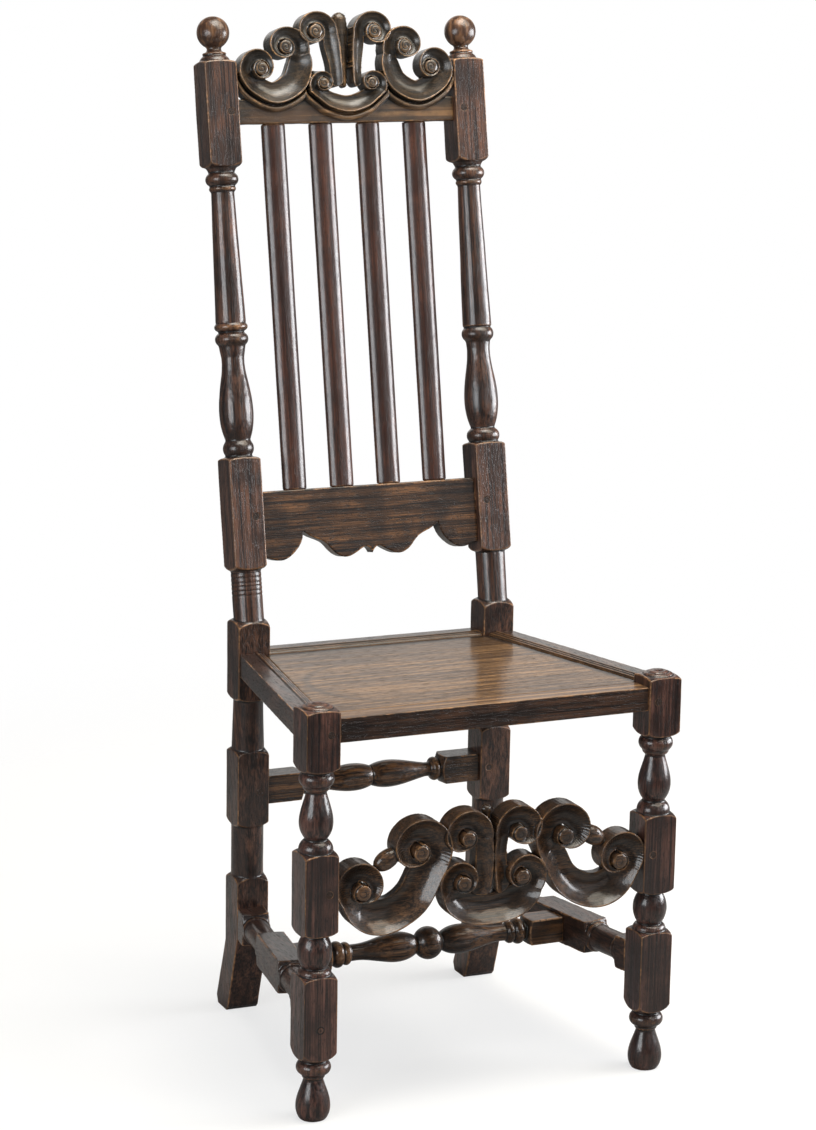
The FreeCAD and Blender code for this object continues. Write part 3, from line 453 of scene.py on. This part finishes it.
def leaf_row(foot, tip, count, shares, halves):
    """Row up the middle line for a bud, its half widths given at shares of its height."""
    still = np.zeros(count)
    return np.column_stack([still, np.linspace(foot, tip, count),
                            np.interp(np.linspace(0, 1, count), shares, halves), still])


def both_sides(eyes):
    """Eyes on the right, with their mirror images."""
    return [(side * x, z, radius, side * turn) for side in (-1, 1) for x, z, radius, turn in eyes]


class Carving:
    """Carved board, as heights in mm over a grid of points in its front view."""

    def __init__(self, low, high, deepest):
        self.deepest = deepest
        self.xs = np.arange(low[0], high[0] + GRID, GRID)
        self.zs = np.arange(low[1], high[1] + GRID, GRID)
        self.x, self.z = np.meshgrid(self.xs, self.zs, indexing="ij")
        self.inside = np.full(self.x.shape, -FAR)
        self.height = np.full(self.x.shape, -FAR)
        self.outside = np.full(self.x.shape, FAR)

    def within(self, x, z, reach):
        """The part of the grid that lies within reach of a place."""
        i = np.searchsorted(self.xs, (x - reach, x + reach))
        j = np.searchsorted(self.zs, (z - reach, z + reach))
        return np.s_[i[0]:i[1], j[0]:j[1]]

    def scoop(self, offset, half):
        """Heights across a ribbon: a brim with a rounded arris, then a gouged hollow."""
        offset = np.clip(offset, -1, 1)
        brim = 1 - np.minimum(BRIM / half, 0.5)
        inward = np.clip((brim - offset) / (1 + brim), 0, 1)
        depth = np.minimum(1.05 * half, self.deepest)
        hollow = -depth * (1 - ((inward - 0.74) / 0.74) ** 2)
        return hollow - 0.8 * np.clip((offset - 0.93) / 0.07, 0, 1) ** 2

    def ribbon(self, row, hand):
        """Adds a ribbon.

        Its hand is 1 where its outer rim is on the right as it runs, -1 on the left, and 0 for
        a bud, which is rounded and lies in the depth.
        """
        shape = self.x.shape
        share, margin = np.full(shape, 2 * FAR), np.full(shape, -2 * FAR)
        width, lift, offset = np.ones(shape), np.zeros(shape), np.zeros(shape)
        heading = np.gradient(row[:, :2], axis=0) * hand
        for (x, z, half, climb), (dx, dz) in zip(row[::2], heading[::2]):
            half = max(half, 0.4)
            near = self.within(x, z, half + 12)
            from_x, from_z = self.x[near] - x, self.z[near] - z
            distance = np.hypot(from_x, from_z)
            margin[near] = np.maximum(margin[near], half - distance)
            closer = distance / half < share[near]
            share[near][closer] = distance[closer] / half
            width[near][closer], lift[near][closer] = half, climb
            aside = (from_x * dz - from_z * dx) / (math.hypot(dx, dz) * half + 1e-9)
            offset[near][closer] = aside[closer]
        if hand:
            top = self.scoop(offset, width) + VOLUTE_RISE * lift
        else:
            top = -1.5 * self.deepest + 8.0 * np.sqrt(np.clip(1 - share ** 2, 0, 1))
        self.height = np.maximum(self.height, np.where(share <= 1.02, top, -FAR))
        self.inside = np.maximum(self.inside, margin)
        self.outside = np.minimum(self.outside, -margin)

    def eye(self, x, z, radius, turn, proud, groove):
        """Adds a volute's raised eye, with a spiral cut in it."""
        distance = np.hypot(self.x - x, self.z - z)
        around = np.arctan2(self.z - z, self.x - x)
        boss = proud - 0.9 * (distance / radius) ** 6
        winding = np.mod(1.6 * distance / radius + turn * around / (2 * math.pi), 1.0)
        boss -= groove * np.clip(1 - abs(winding - 0.5) / 0.2, 0, 1) * (distance > 0.15 * radius)
        self.height = np.where(distance < radius, np.maximum(self.height, boss), self.height)
        self.inside = np.maximum(self.inside, radius - distance)

    def plain_rail(self, half, foot, top, sunk, arches):
        """Adds the plain rail behind the ribbons, which rises to the foot of each arch."""
        upper = top - self.z
        for centre_x, centre_z, radius, limit in arches:
            ring = np.hypot(abs(self.x) - centre_x, self.z - centre_z) - radius
            under = np.minimum(ring + ARCH_IN, ARCH_OUT - ring)
            upper = np.maximum(upper, np.minimum(under, limit - self.z))
        edge = np.minimum(np.minimum(half - abs(self.x), self.z - foot), upper)
        step = np.clip(1 - ((self.outside - STEP_AWAY) / STEP_HALF) ** 2, 0, 1) ** 0.5 * STEP_TALL
        plain = -sunk + step - np.clip(1 - edge / 1.5, 0, 1) ** 2 * (step < 1)
        bare = (edge > -GRID) & (self.inside < 0)
        self.height = np.where(bare, np.maximum(self.height, plain), self.height)
        self.inside = np.maximum(self.inside, edge)

    def skin(self, back):
        """Points and faces of the board, flat behind, its rim drawn to the true outline."""
        keep = self.inside > -0.5 * GRID
        slope_x, slope_z = np.gradient(self.inside, GRID)
        steep = np.maximum(np.hypot(slope_x, slope_z), 0.5)
        rim = keep & (self.inside < 0.75 * GRID)
        pull = np.where(rim, np.clip(self.inside, -1.2 * GRID, 1.2 * GRID) / steep, 0)
        flat_x, flat_z = self.x - pull * slope_x / steep, self.z - pull * slope_z / steep
        height = np.where(self.height < -0.9 * FAR, -1.0, self.height)
        number = np.full(keep.shape, -1)
        number[keep] = np.arange(keep.sum())
        front = np.stack([flat_x[keep], -height[keep], flat_z[keep]], 1)
        rear = np.stack([flat_x[keep], np.full(keep.sum(), back), flat_z[keep]], 1)
        corners = [number[:-1, :-1], number[1:, :-1], number[1:, 1:], number[:-1, 1:]]
        whole = np.all([c >= 0 for c in corners], axis=0)
        quads = np.stack([c[whole] for c in corners], 1)
        sides = np.concatenate([np.stack([quads[:, k], quads[:, (k + 1) % 4]], 1) for k in range(4)])
        key = np.sort(sides, 1)
        key = key[:, 0] * (len(front) + 1) + key[:, 1]
        _, first, count = np.unique(key, return_index=True, return_counts=True)
        start, end = sides[first[count == 1]].T
        behind = len(front)
        walls = np.stack([start, end, end + behind, start + behind], 1)
        faces = quads[:, ::-1].tolist() + (quads + behind).tolist() + walls.tolist()
        return np.concatenate([front, rear]), faces


CARVED_VOXEL = 0.58 * MM
CHISEL_DEPTH = 0.12 * MM
SHORT_CUT, LONG_CUT = 12 * MM, 35 * MM               # how far apart the chisel's marks lie


def carved_piece(name, points, faces, to_world):
    """Piece made of a carving's points, evenly meshed, marked by the chisel and put in place."""
    mesh = bpy.data.meshes.new(name)
    mesh.from_pydata((points * MM).tolist(), [], faces)
    mesh.update()
    piece = bpy.data.objects.new(name, mesh)
    scene.collection.objects.link(piece)
    even_mesh(piece, CARVED_VOXEL, 1)
    place, normal, _ = as_arrays(piece.data)
    chisel = 0.4 * unevenness(place, len(name), SHORT_CUT) + unevenness(place, len(name) + 3, LONG_CUT)
    piece.data.vertices.foreach_set("co", (place + normal * (CHISEL_DEPTH * chisel[:, None])).ravel())
    piece.data.transform(to_world)
    piece.data.update()
    store_bend(piece.data)
    piece.data.shade_smooth()
    return piece


CREST_RIM = -23.0                # rims of the ribbons, in front of the posts' axes
CREST_LIFT = 5.0                 # how far the rail stands above the height that it was drawn at
leaning = Matrix.Translation(Vector((0, BACK_AXIS, BEND_HEIGHT)) * MM) @ Matrix.Rotation(-RAKE, 4, "X")
crest_place = leaning @ Matrix.Translation(Vector((0, CREST_RIM, CREST_LIFT)) * MM)
INNER_EYE, OUTER_EYE, MIDDLE_EYE, HIGH_EYE = (79, 680.5), (112, 655), (32, 636.5), (39, 699)
inner_curl = volute(INNER_EYE, (32, 25.5, 22, 14.5), 205, -1, 11)
outer_curl = volute(OUTER_EYE, (29.5, 25, 16.5, 13.5), -25, 1, 11)
arch = ribbon(inner_curl, [(60, 658, 14), (69.5, 638, 14.6), (94, 626, 13.3), (118, 636, 12.6)], outer_curl)
middle_curl = volute(MIDDLE_EYE, (20.5, 15.5, 13, 10), -30, 1, 8.6)
middle = spanning(middle_curl, [(33, 623.5, 9), (20, 616, 10.2)], (0, 611.5, 10.6))
high_curl = volute(HIGH_EYE, (29, 24.5, 22, 14.5), 190, -1, 11.5)
stem = ribbon(None, [(13.5, 639, 6.5), (14.3, 660, 7.2), (17, 682, 9)], high_curl)
leaf = leaf_row(636, 716, 80, [0, 0.45, 0.8, 1], [4, 7.5, 10.5, 9])
crest = Carving((-145, 588), (145, 726), deepest=13.5)
for row, hand in ((arch, 1), (flipped(arch), -1), (middle, 1), (stem, -1), (flipped(stem), 1), (leaf, 0)):
    crest.ribbon(row, hand)
for eye in both_sides([(*INNER_EYE, 8.0, 1), (*OUTER_EYE, 8.0, -1), (*MIDDLE_EYE, 6.4, -1),
                       (*HIGH_EYE, 8.2, 1)]):
    crest.eye(*eye, proud=0.2, groove=0.6)
crest.plain_rail(half=143.4, foot=589.5, top=619.0, sunk=11.0,
                 arches=((93, 664, 49.5, 652), (0, 655, 54.5, 628)))
oak_carved = oak("oak_carved", "X", (0.009, 0.0064, 0.0043), (0.066, 0.040, 0.020), (0.36, 0.19, 0.075),
                 0.36, 0.85, blur=0.26, even=0.3)
carved_tree = oak_carved.node_tree
carved_spot, carved_parts = spot_on(oak_carved)
RAIL_TOP, RAIL_RUBBED = 1.118, 1.107                 # the plain rail is rubbed paler below these heights
plain_rail = between(carved_tree, carved_parts["Z"], RAIL_TOP, RAIL_RUBBED)
clouded = between(carved_tree, noise(carved_tree, carved_spot, 34, 3), 0.22, 0.7)
rubbed = times(carved_tree, times(carved_tree, plain_rail, clouded), 0.7)
tone_over(oak_carved, rubbed,
          mixed(carved_tree, bands_of(oak_carved), (0.075, 0.036, 0.015), (0.30, 0.155, 0.06)))
finish_piece(carved_piece("crest_carving", *crest.skin(back=24.0), crest_place),
             "oak_carved", oak_carved, "crest_rail")

# Lower back rail
# An oak board, its lower edge sawn to lobes and cusps and its faces planed.
# Its tenons are pegged into the posts, and the slats stand in its upper edge.
oak_rail = oak("oak_rail", "X", (0.007, 0.004, 0.0033), (0.15, 0.070, 0.030), ORANGE, 0.30, 0.45)
worn("lower_back_rail", "oak_dark", oak_rail, drawn=(0.3, 1, 1))

# Slats
# Four oak slats with planed bowed faces, polished by many backs.
# Their tongues sit in the crest rail and the lower rail, without pegs.
oak_slat = oak("oak_slat", "lean", (0.020, 0.0085, 0.0068), (0.085, 0.033, 0.021), ORANGE, 0.34, 0.65,
               wear=0.5, pore_depth=0.5, blur=0.2)
for number in range(1, 5):
    worn("back_slat_%d" % number, "oak_slats", oak_slat, soften=6, knocks=0.1 * MM, drawn=(1, 1, 0.15))

# Seat rails
# Oak rails, tenoned between the legs and posts, with a groove for the panel. The side and
# back ones have reeds scraped on their inner edges; the front one is plain, its top rubbed pale.
oak_side = oak("oak_side", "Y", DARK, (0.085, 0.039, 0.024), ORANGE, 0.30, 0.4)
reed_tones = (0.006, 0.0034, 0.0028), (0.08, 0.038, 0.018), (0.24, 0.125, 0.052)
oak_reeds = oak("oak_reeds", "Y", *reed_tones, 0.30, 0.45, wear=0.7, even=0.6)
oak_reeds_across = oak("oak_reeds_across", "X", *reed_tones, 0.30, 0.45, wear=0.7, even=0.6)
ALONG_Y, ALONG_X = (1, 0.3, 1), (0.3, 1, 1)
for side, rail_oak, drawn in (("left", oak_side, ALONG_Y), ("right", oak_reeds, ALONG_Y),
                              ("back", oak_reeds_across, ALONG_X)):
    worn("seat_rail_" + side, "oak_dark", rail_oak, voxel=0.7 * MM, soften=1, knocks=0.1 * MM, drawn=drawn)
oak_front = oak("oak_front", "X", (0.0085, 0.0045, 0.0036), (0.075, 0.036, 0.021), ORANGE, 0.34, 0.3)
front_tree = oak_front.node_tree
surface, facing = front_tree.nodes.new("ShaderNodeNewGeometry"), front_tree.nodes.new("ShaderNodeSeparateXYZ")
link(front_tree, surface.outputs["Normal"], facing.inputs[0])
upper_face = times(front_tree, between(front_tree, facing.outputs["Z"], 0.75, 0.95), 0.85)
tone_over(oak_front, upper_face,
          mixed(front_tree, bands_of(oak_front), (0.085, 0.042, 0.018), (0.27, 0.15, 0.064)))
worn("seat_rail_front", "oak_dark", oak_front, voxel=0.8 * MM, soften=2, knocks=0.1 * MM, drawn=ALONG_X)

# Seat panel
# One wide oak board with its grain from side to side, its tongue held in the rails' grooves.
# It is polished to honey brown, with a dark arc where a round pot once stood.
STAIN, STAIN_RADIUS = (-0.06, -0.1, 0.468), 104 * MM
STAIN_FADE = 0.02, -0.07         # the arc is lost to the right of these places
BACK_SHADE_SPAN = -0.04, 0.1            # the back of the board is painted darker, as painted shade and where it is less rubbed, from the first to the second
SPLAY = 51.0 / 302.0             # how much the side rails draw in towards the back
oak_seat = oak("oak_seat", "X", (0.028, 0.014, 0.006), (0.285, 0.155, 0.063), (0.34, 0.17, 0.07), 0.30, 0.3,
               wear=0.4, patches=0.3)
seat_tree = oak_seat.node_tree
seat_tree.nodes["Principled BSDF"].inputs["Specular IOR Level"].default_value = 0.2
seat_spot, seat_parts = spot_on(oak_seat)
dark_lines = times(seat_tree, maths(seat_tree, "SUBTRACT", 1.0, bands_of(oak_seat)), 0.25)
tone_over(oak_seat, dark_lines, (0.05, 0.024, 0.010))
from_stain = seat_tree.nodes.new("ShaderNodeVectorMath")
from_stain.operation = "DISTANCE"
from_stain.inputs[1].default_value = STAIN
link(seat_tree, seat_spot, from_stain.inputs[0])
from_stain = from_stain.outputs["Value"]
ring = times(seat_tree, between(seat_tree, from_stain, STAIN_RADIUS - 7 * MM, STAIN_RADIUS),
             between(seat_tree, from_stain, STAIN_RADIUS + 9 * MM, STAIN_RADIUS + 1 * MM))
arc = times(seat_tree, between(seat_tree, seat_parts["X"], *STAIN_FADE), 0.6)
tone_over(oak_seat, times(seat_tree, ring, arc), (0.022, 0.012, 0.006))
# Painted shade: the back of the board is painted darker, also where it is less rubbed.
back_shade_and_unrubbed = times(seat_tree, between(seat_tree, seat_parts["Y"], *BACK_SHADE_SPAN), 0.75)
tone_over(oak_seat, back_shade_and_unrubbed, (0.035, 0.019, 0.009))
rail_points = as_arrays(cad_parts["seat_rail_right"].data)[0]
side_edge = (rail_points[:, 0] + SPLAY * rail_points[:, 1]).min()
back_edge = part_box("seat_rail_back")[0][1]
across_seat = seat_tree.nodes.new("ShaderNodeMath")
across_seat.operation = "MULTIPLY_ADD"
across_seat.inputs[1].default_value = SPLAY
link(seat_tree, seat_parts["Y"], across_seat.inputs[0])
link(seat_tree, seat_parts["X"], across_seat.inputs[2])
# Near black strip where the raised side and back rails meet the panel: dust, and painted shade.
side_dust_and_shade = between(seat_tree, across_seat.outputs[0], side_edge - 16 * MM, side_edge - 6 * MM)
back_dust_and_shade = between(seat_tree, seat_parts["Y"], back_edge - 18 * MM, back_edge - 8 * MM)
dust_and_shade = maths(seat_tree, "MAXIMUM", side_dust_and_shade, back_dust_and_shade)
tone_over(oak_seat, times(seat_tree, dust_and_shade, 0.92), (0.006, 0.0035, 0.002))
worn("seat_panel", "oak_seat", oak_seat, voxel=2.0 * MM, soften=2, knocks=0.05 * MM, drawn=(0.15, 1, 1))

# Front stretcher
# One oak board, pierced and carved like the crest but bolder: two wide scrolls, a middle one
# and two upright ribbons, with an egg-shaped bud between each wide scroll's volutes.
# Its tenons are pegged in the front legs.


def bud(centre, size, tilt, first, rings=14, spokes=20):
    """Points and faces of an egg-shaped bud, tilted in the front view; first numbers its points."""
    down, around = np.meshgrid(np.linspace(0.02, math.pi - 0.02, rings),
                               np.arange(spokes) * 2 * math.pi / spokes, indexing="ij")
    egg = np.stack([np.cos(down), np.sin(down) * np.cos(around), np.sin(down) * np.sin(around)], -1)
    x, y, z = (egg.reshape(-1, 3) * np.array(size)).T
    c, s = math.cos(tilt), math.sin(tilt)
    points = np.stack([x * c - z * s, y, x * s + z * c], 1) + np.array(centre)
    loops = first + np.arange(rings * spokes).reshape(rings, spokes)
    nexts = np.roll(loops, -1, axis=1)
    faces = np.stack([loops[:-1], nexts[:-1], nexts[1:], loops[1:]], -1).reshape(-1, 4).tolist()
    return points, faces + [loops[0, ::-1].tolist(), loops[-1].tolist()]


CARVED_SET = 2.0                 # how far the rims stand behind the legs' front faces
CARVED_RIM = FRONT_AXIS - BLOCK_HALF + CARVED_SET
BIG_EYE, END_EYE, LOW_EYE, TOP_EYE = (92, 307), (163, 268), (37, 264), (33, 317)
big_curl = volute(BIG_EYE, (38.5, 40.5, 34, 17), 205, -1, 12)
end_curl = volute(END_EYE, (29.5, 37, 27, 15), -30, 1, 12)
wide = ribbon(big_curl, [(80, 284, 18), (96.5, 254, 18.6), (118.5, 238, 18.4), (140, 234, 19),
                         (160.5, 241, 17.5)], end_curl)
low_curl = volute(LOW_EYE, (31, 29, 20, 13.5), -40, 1, 11)
low = spanning(low_curl, [(43, 240.5, 15.5), (26, 231.5, 17)], (0, 227.5, 16.3))
top_curl = volute(TOP_EYE, (31, 34, 28, 13), 190, -1, 11)
upright = ribbon(None, [(14, 256, 10.5), (10.5, 280, 9.6), (10.2, 299, 9.6)], top_curl)
tip = leaf_row(322, 343, 30, [0, 1], [2, 7])
stretcher = Carving((-194.4, 208), (194.4, 352), deepest=18.5)
for row, hand in ((wide, 1), (flipped(wide), -1), (low, 1), (upright, -1), (flipped(upright), 1), (tip, 0)):
    stretcher.ribbon(row, hand)
for eye in both_sides([(*BIG_EYE, 9.0, 1), (*END_EYE, 9.0, -1), (*LOW_EYE, 8.2, -1), (*TOP_EYE, 8.2, 1)]):
    stretcher.eye(*eye, proud=1.5, groove=0.35)
points, faces = stretcher.skin(back=27.0)
for side in (-1, 1):
    bud_points, bud_faces = bud((side * 131, 11.0, 301.5), (17.5, 10.5, 11.5), -side * 0.55, len(points))
    points = np.concatenate([points, bud_points])
    faces += bud_faces
stretcher_place = Matrix.Translation(Vector((0, CARVED_RIM, 0)) * MM)
oak_carved_low = oak("oak_carved_low", "X", (0.012, 0.0066, 0.0042), (0.125, 0.060, 0.026),
                     (0.36, 0.18, 0.066), 0.40, 0.6, wear=0.5, blur=0.15, even=0.1)
finish_piece(carved_piece("front_stretcher_carving", points, faces, stretcher_place),
             "oak_carved", oak_carved_low, "front_stretcher")

# Side, medial and rear stretchers
# Oak bars, turned between square lengths. The side ones are tenoned into the legs and posts,
# the medial one into the side ones' square middles, and the rear one into the posts.
for side in ("left", "right"):
    worn("side_stretcher_" + side, "oak_dark", oak_side, drawn=(1, 0.4, 1))
worn("medial_stretcher", "oak_dark", oak_rail, voxel=0.8 * MM, drawn=(0.4, 1, 1))
worn("rear_stretcher", "oak_dark", oak_rail, voxel=0.8 * MM, drawn=(0.4, 1, 1))

# Pegs
# Riven oak pegs, driven through the mortise and tenon joints and pared flush.
# Their end grain is dark with wax, and their heads close the worn edges of their holes.
oak_peg = oak("oak_peg", "Y", (0.016, 0.009, 0.006), (0.04, 0.018, 0.010), ORANGE, 0.4, 0.2)
PEG_SPREAD = 0.9 * MM            # how far a head swells past its hole
PEGGED = ("crest_rail", "lower_back_rail", "seat_front", "seat_back", "front_stretcher", "rear_stretcher")
for joint in PEGGED:
    pegs = copy_of(joint + "_pegs")
    pegs.data.validate()
    place = as_arrays(pegs.data)[0]
    along = Vector((0, math.cos(RAKE), -math.sin(RAKE))) if "rail" in joint else Vector((0, 1, 0))
    outward = np.zeros(place.shape)
    for half in (place[:, 0] < 0, place[:, 0] >= 0):
        spoke = place[half] - place[half].mean(0)
        spoke -= np.outer(spoke @ np.array(along), along)
        outward[half] = spoke / np.maximum(np.linalg.norm(spoke, axis=1, keepdims=True), 1e-9)
    pegs.data.vertices.foreach_set("co", (place + outward * PEG_SPREAD).ravel())
    pegs.data.update()
    finish_piece(pegs, "oak_pegs", oak_peg, joint + "_pegs")

# Studio
# White paper on the floor, which fades out to a white background.
# Soft boxes stand at both sides, above, in front and behind.
REACH, FADE_END, FADE_START = 2.0, 1.9, 0.8
PAPER, PAPER_GLOW, ROOM_LIGHT = 0.26, 0.655, 0.12
floor_mesh = bpy.data.meshes.new("floor")
floor_mesh.from_pydata([(-REACH, -REACH, 0), (REACH, -REACH, 0), (REACH, REACH, 0), (-REACH, REACH, 0)], [],
                       [(0, 1, 2, 3)])
floor = bpy.data.objects.new("floor", floor_mesh)
scene.collection.objects.link(floor)
pale = bpy.data.materials.new("pale_floor")
pale.use_nodes = True
paper = pale.node_tree.nodes["Principled BSDF"]
paper.inputs["Base Color"].default_value = (PAPER, PAPER, PAPER, 1)
paper.inputs["Roughness"].default_value = 0.9
paper.inputs["Specular IOR Level"].default_value = 0.0
seen = pale.node_tree.nodes.new("ShaderNodeLightPath")
glow = pale.node_tree.nodes.new("ShaderNodeMath")
glow.operation = "MULTIPLY"
glow.inputs[1].default_value = PAPER_GLOW
link(pale.node_tree, seen.outputs["Is Camera Ray"], glow.inputs[0])
paper.inputs["Emission Color"].default_value = (1, 1, 1, 1)
link(pale.node_tree, glow.outputs[0], paper.inputs["Emission Strength"])
spot = pale.node_tree.nodes.new("ShaderNodeTexCoord")
from_chair = pale.node_tree.nodes.new("ShaderNodeVectorMath")
from_chair.operation = "LENGTH"
link(pale.node_tree, spot.outputs["Object"], from_chair.inputs[0])
fade = between(pale.node_tree, from_chair.outputs["Value"], FADE_END, FADE_START)
link(pale.node_tree, fade, paper.inputs["Alpha"])
floor_mesh.materials.append(pale)

scene.view_settings.view_transform = "Standard"
world = bpy.data.worlds.new("white_studio")
scene.world = world
world.use_nodes = True
sky = world.node_tree.nodes["Background"]
sky.inputs["Color"].default_value = (1, 1, 1, 1)
rays = world.node_tree.nodes.new("ShaderNodeLightPath")
level = world.node_tree.nodes.new("ShaderNodeMapRange")
level.inputs["To Min"].default_value = ROOM_LIGHT
level.inputs["To Max"].default_value = 1.0
link(world.node_tree, rays.outputs["Is Camera Ray"], level.inputs["Value"])
link(world.node_tree, level.outputs["Result"], sky.inputs["Strength"])


def soft_box(name, place, aim, width, tall, watts, colour):
    """Lamp behind a rectangle of white cloth, which the camera doesn't see."""
    lamp = bpy.data.lights.new(name, "AREA")
    lamp.color = colour
    lamp.shape, lamp.size, lamp.size_y, lamp.energy = "RECTANGLE", width, tall, watts
    box = bpy.data.objects.new(name, lamp)
    box.location = place
    box.rotation_euler = (Vector(aim) - Vector(place)).to_track_quat("-Z", "Y").to_euler()
    box.visible_camera = False
    scene.collection.objects.link(box)


soft_box("left_box", (-2.7, -1.3, 1.2), (0, 0, 0.9), 1.7, 1.4, 60, (0.93, 0.97, 1.0))
soft_box("right_box", (2.5, -0.5, 1.0), (0, 0, 0.9), 1.7, 1.15, 98, (0.96, 0.97, 1.0))
soft_box("ceiling", (0.9, -0.7, 3.0), (0.5, -0.3, 0.4), 2.2, 2.8, 95, (1.0, 0.93, 0.78))
soft_box("key", (0.0, -0.4, 3.2), (0, 0, 0.4), 1.6, 1.6, 50, (1.0, 0.97, 0.92))
soft_box("front_card", (1.5, -3.0, 1.5), (0, 0, 1.0), 2.0, 1.6, 6, (0.97, 0.98, 1.0))
soft_box("back_wall", (0.8, 3.0, 1.65), (0, 0, 0.6), 2.9, 1.8, 14, (1.0, 0.98, 0.95))

# Camera
# Stands to the left of the chair's front, a little above its top, with a long lens.
# Its place, turn and lens were fitted to the photograph.
EYE = Vector((-1.52134, -3.13896 + FRONT_AXIS * MM, 1.40701))
YAW, PITCH, ROLL = 0.4232, -0.2191, 0.0178
FOCAL_PIXELS, FRAME_TALL = 3160.71, 1130
ahead = Vector((math.sin(YAW) * math.cos(PITCH), math.cos(YAW) * math.cos(PITCH), math.sin(PITCH)))
across = Vector((math.cos(YAW), -math.sin(YAW), 0))
upward = across.cross(ahead)
right = math.cos(ROLL) * across + math.sin(ROLL) * upward
above = math.cos(ROLL) * upward - math.sin(ROLL) * across
lens = bpy.data.cameras.new("camera")
lens.sensor_width = 36.0
lens.lens = lens.sensor_width * FOCAL_PIXELS / FRAME_TALL
camera = bpy.data.objects.new("camera", lens)
camera.matrix_world = Matrix.Translation(EYE) @ Matrix((right, above, -ahead)).transposed().to_4x4()
scene.collection.objects.link(camera)
scene.camera = camera
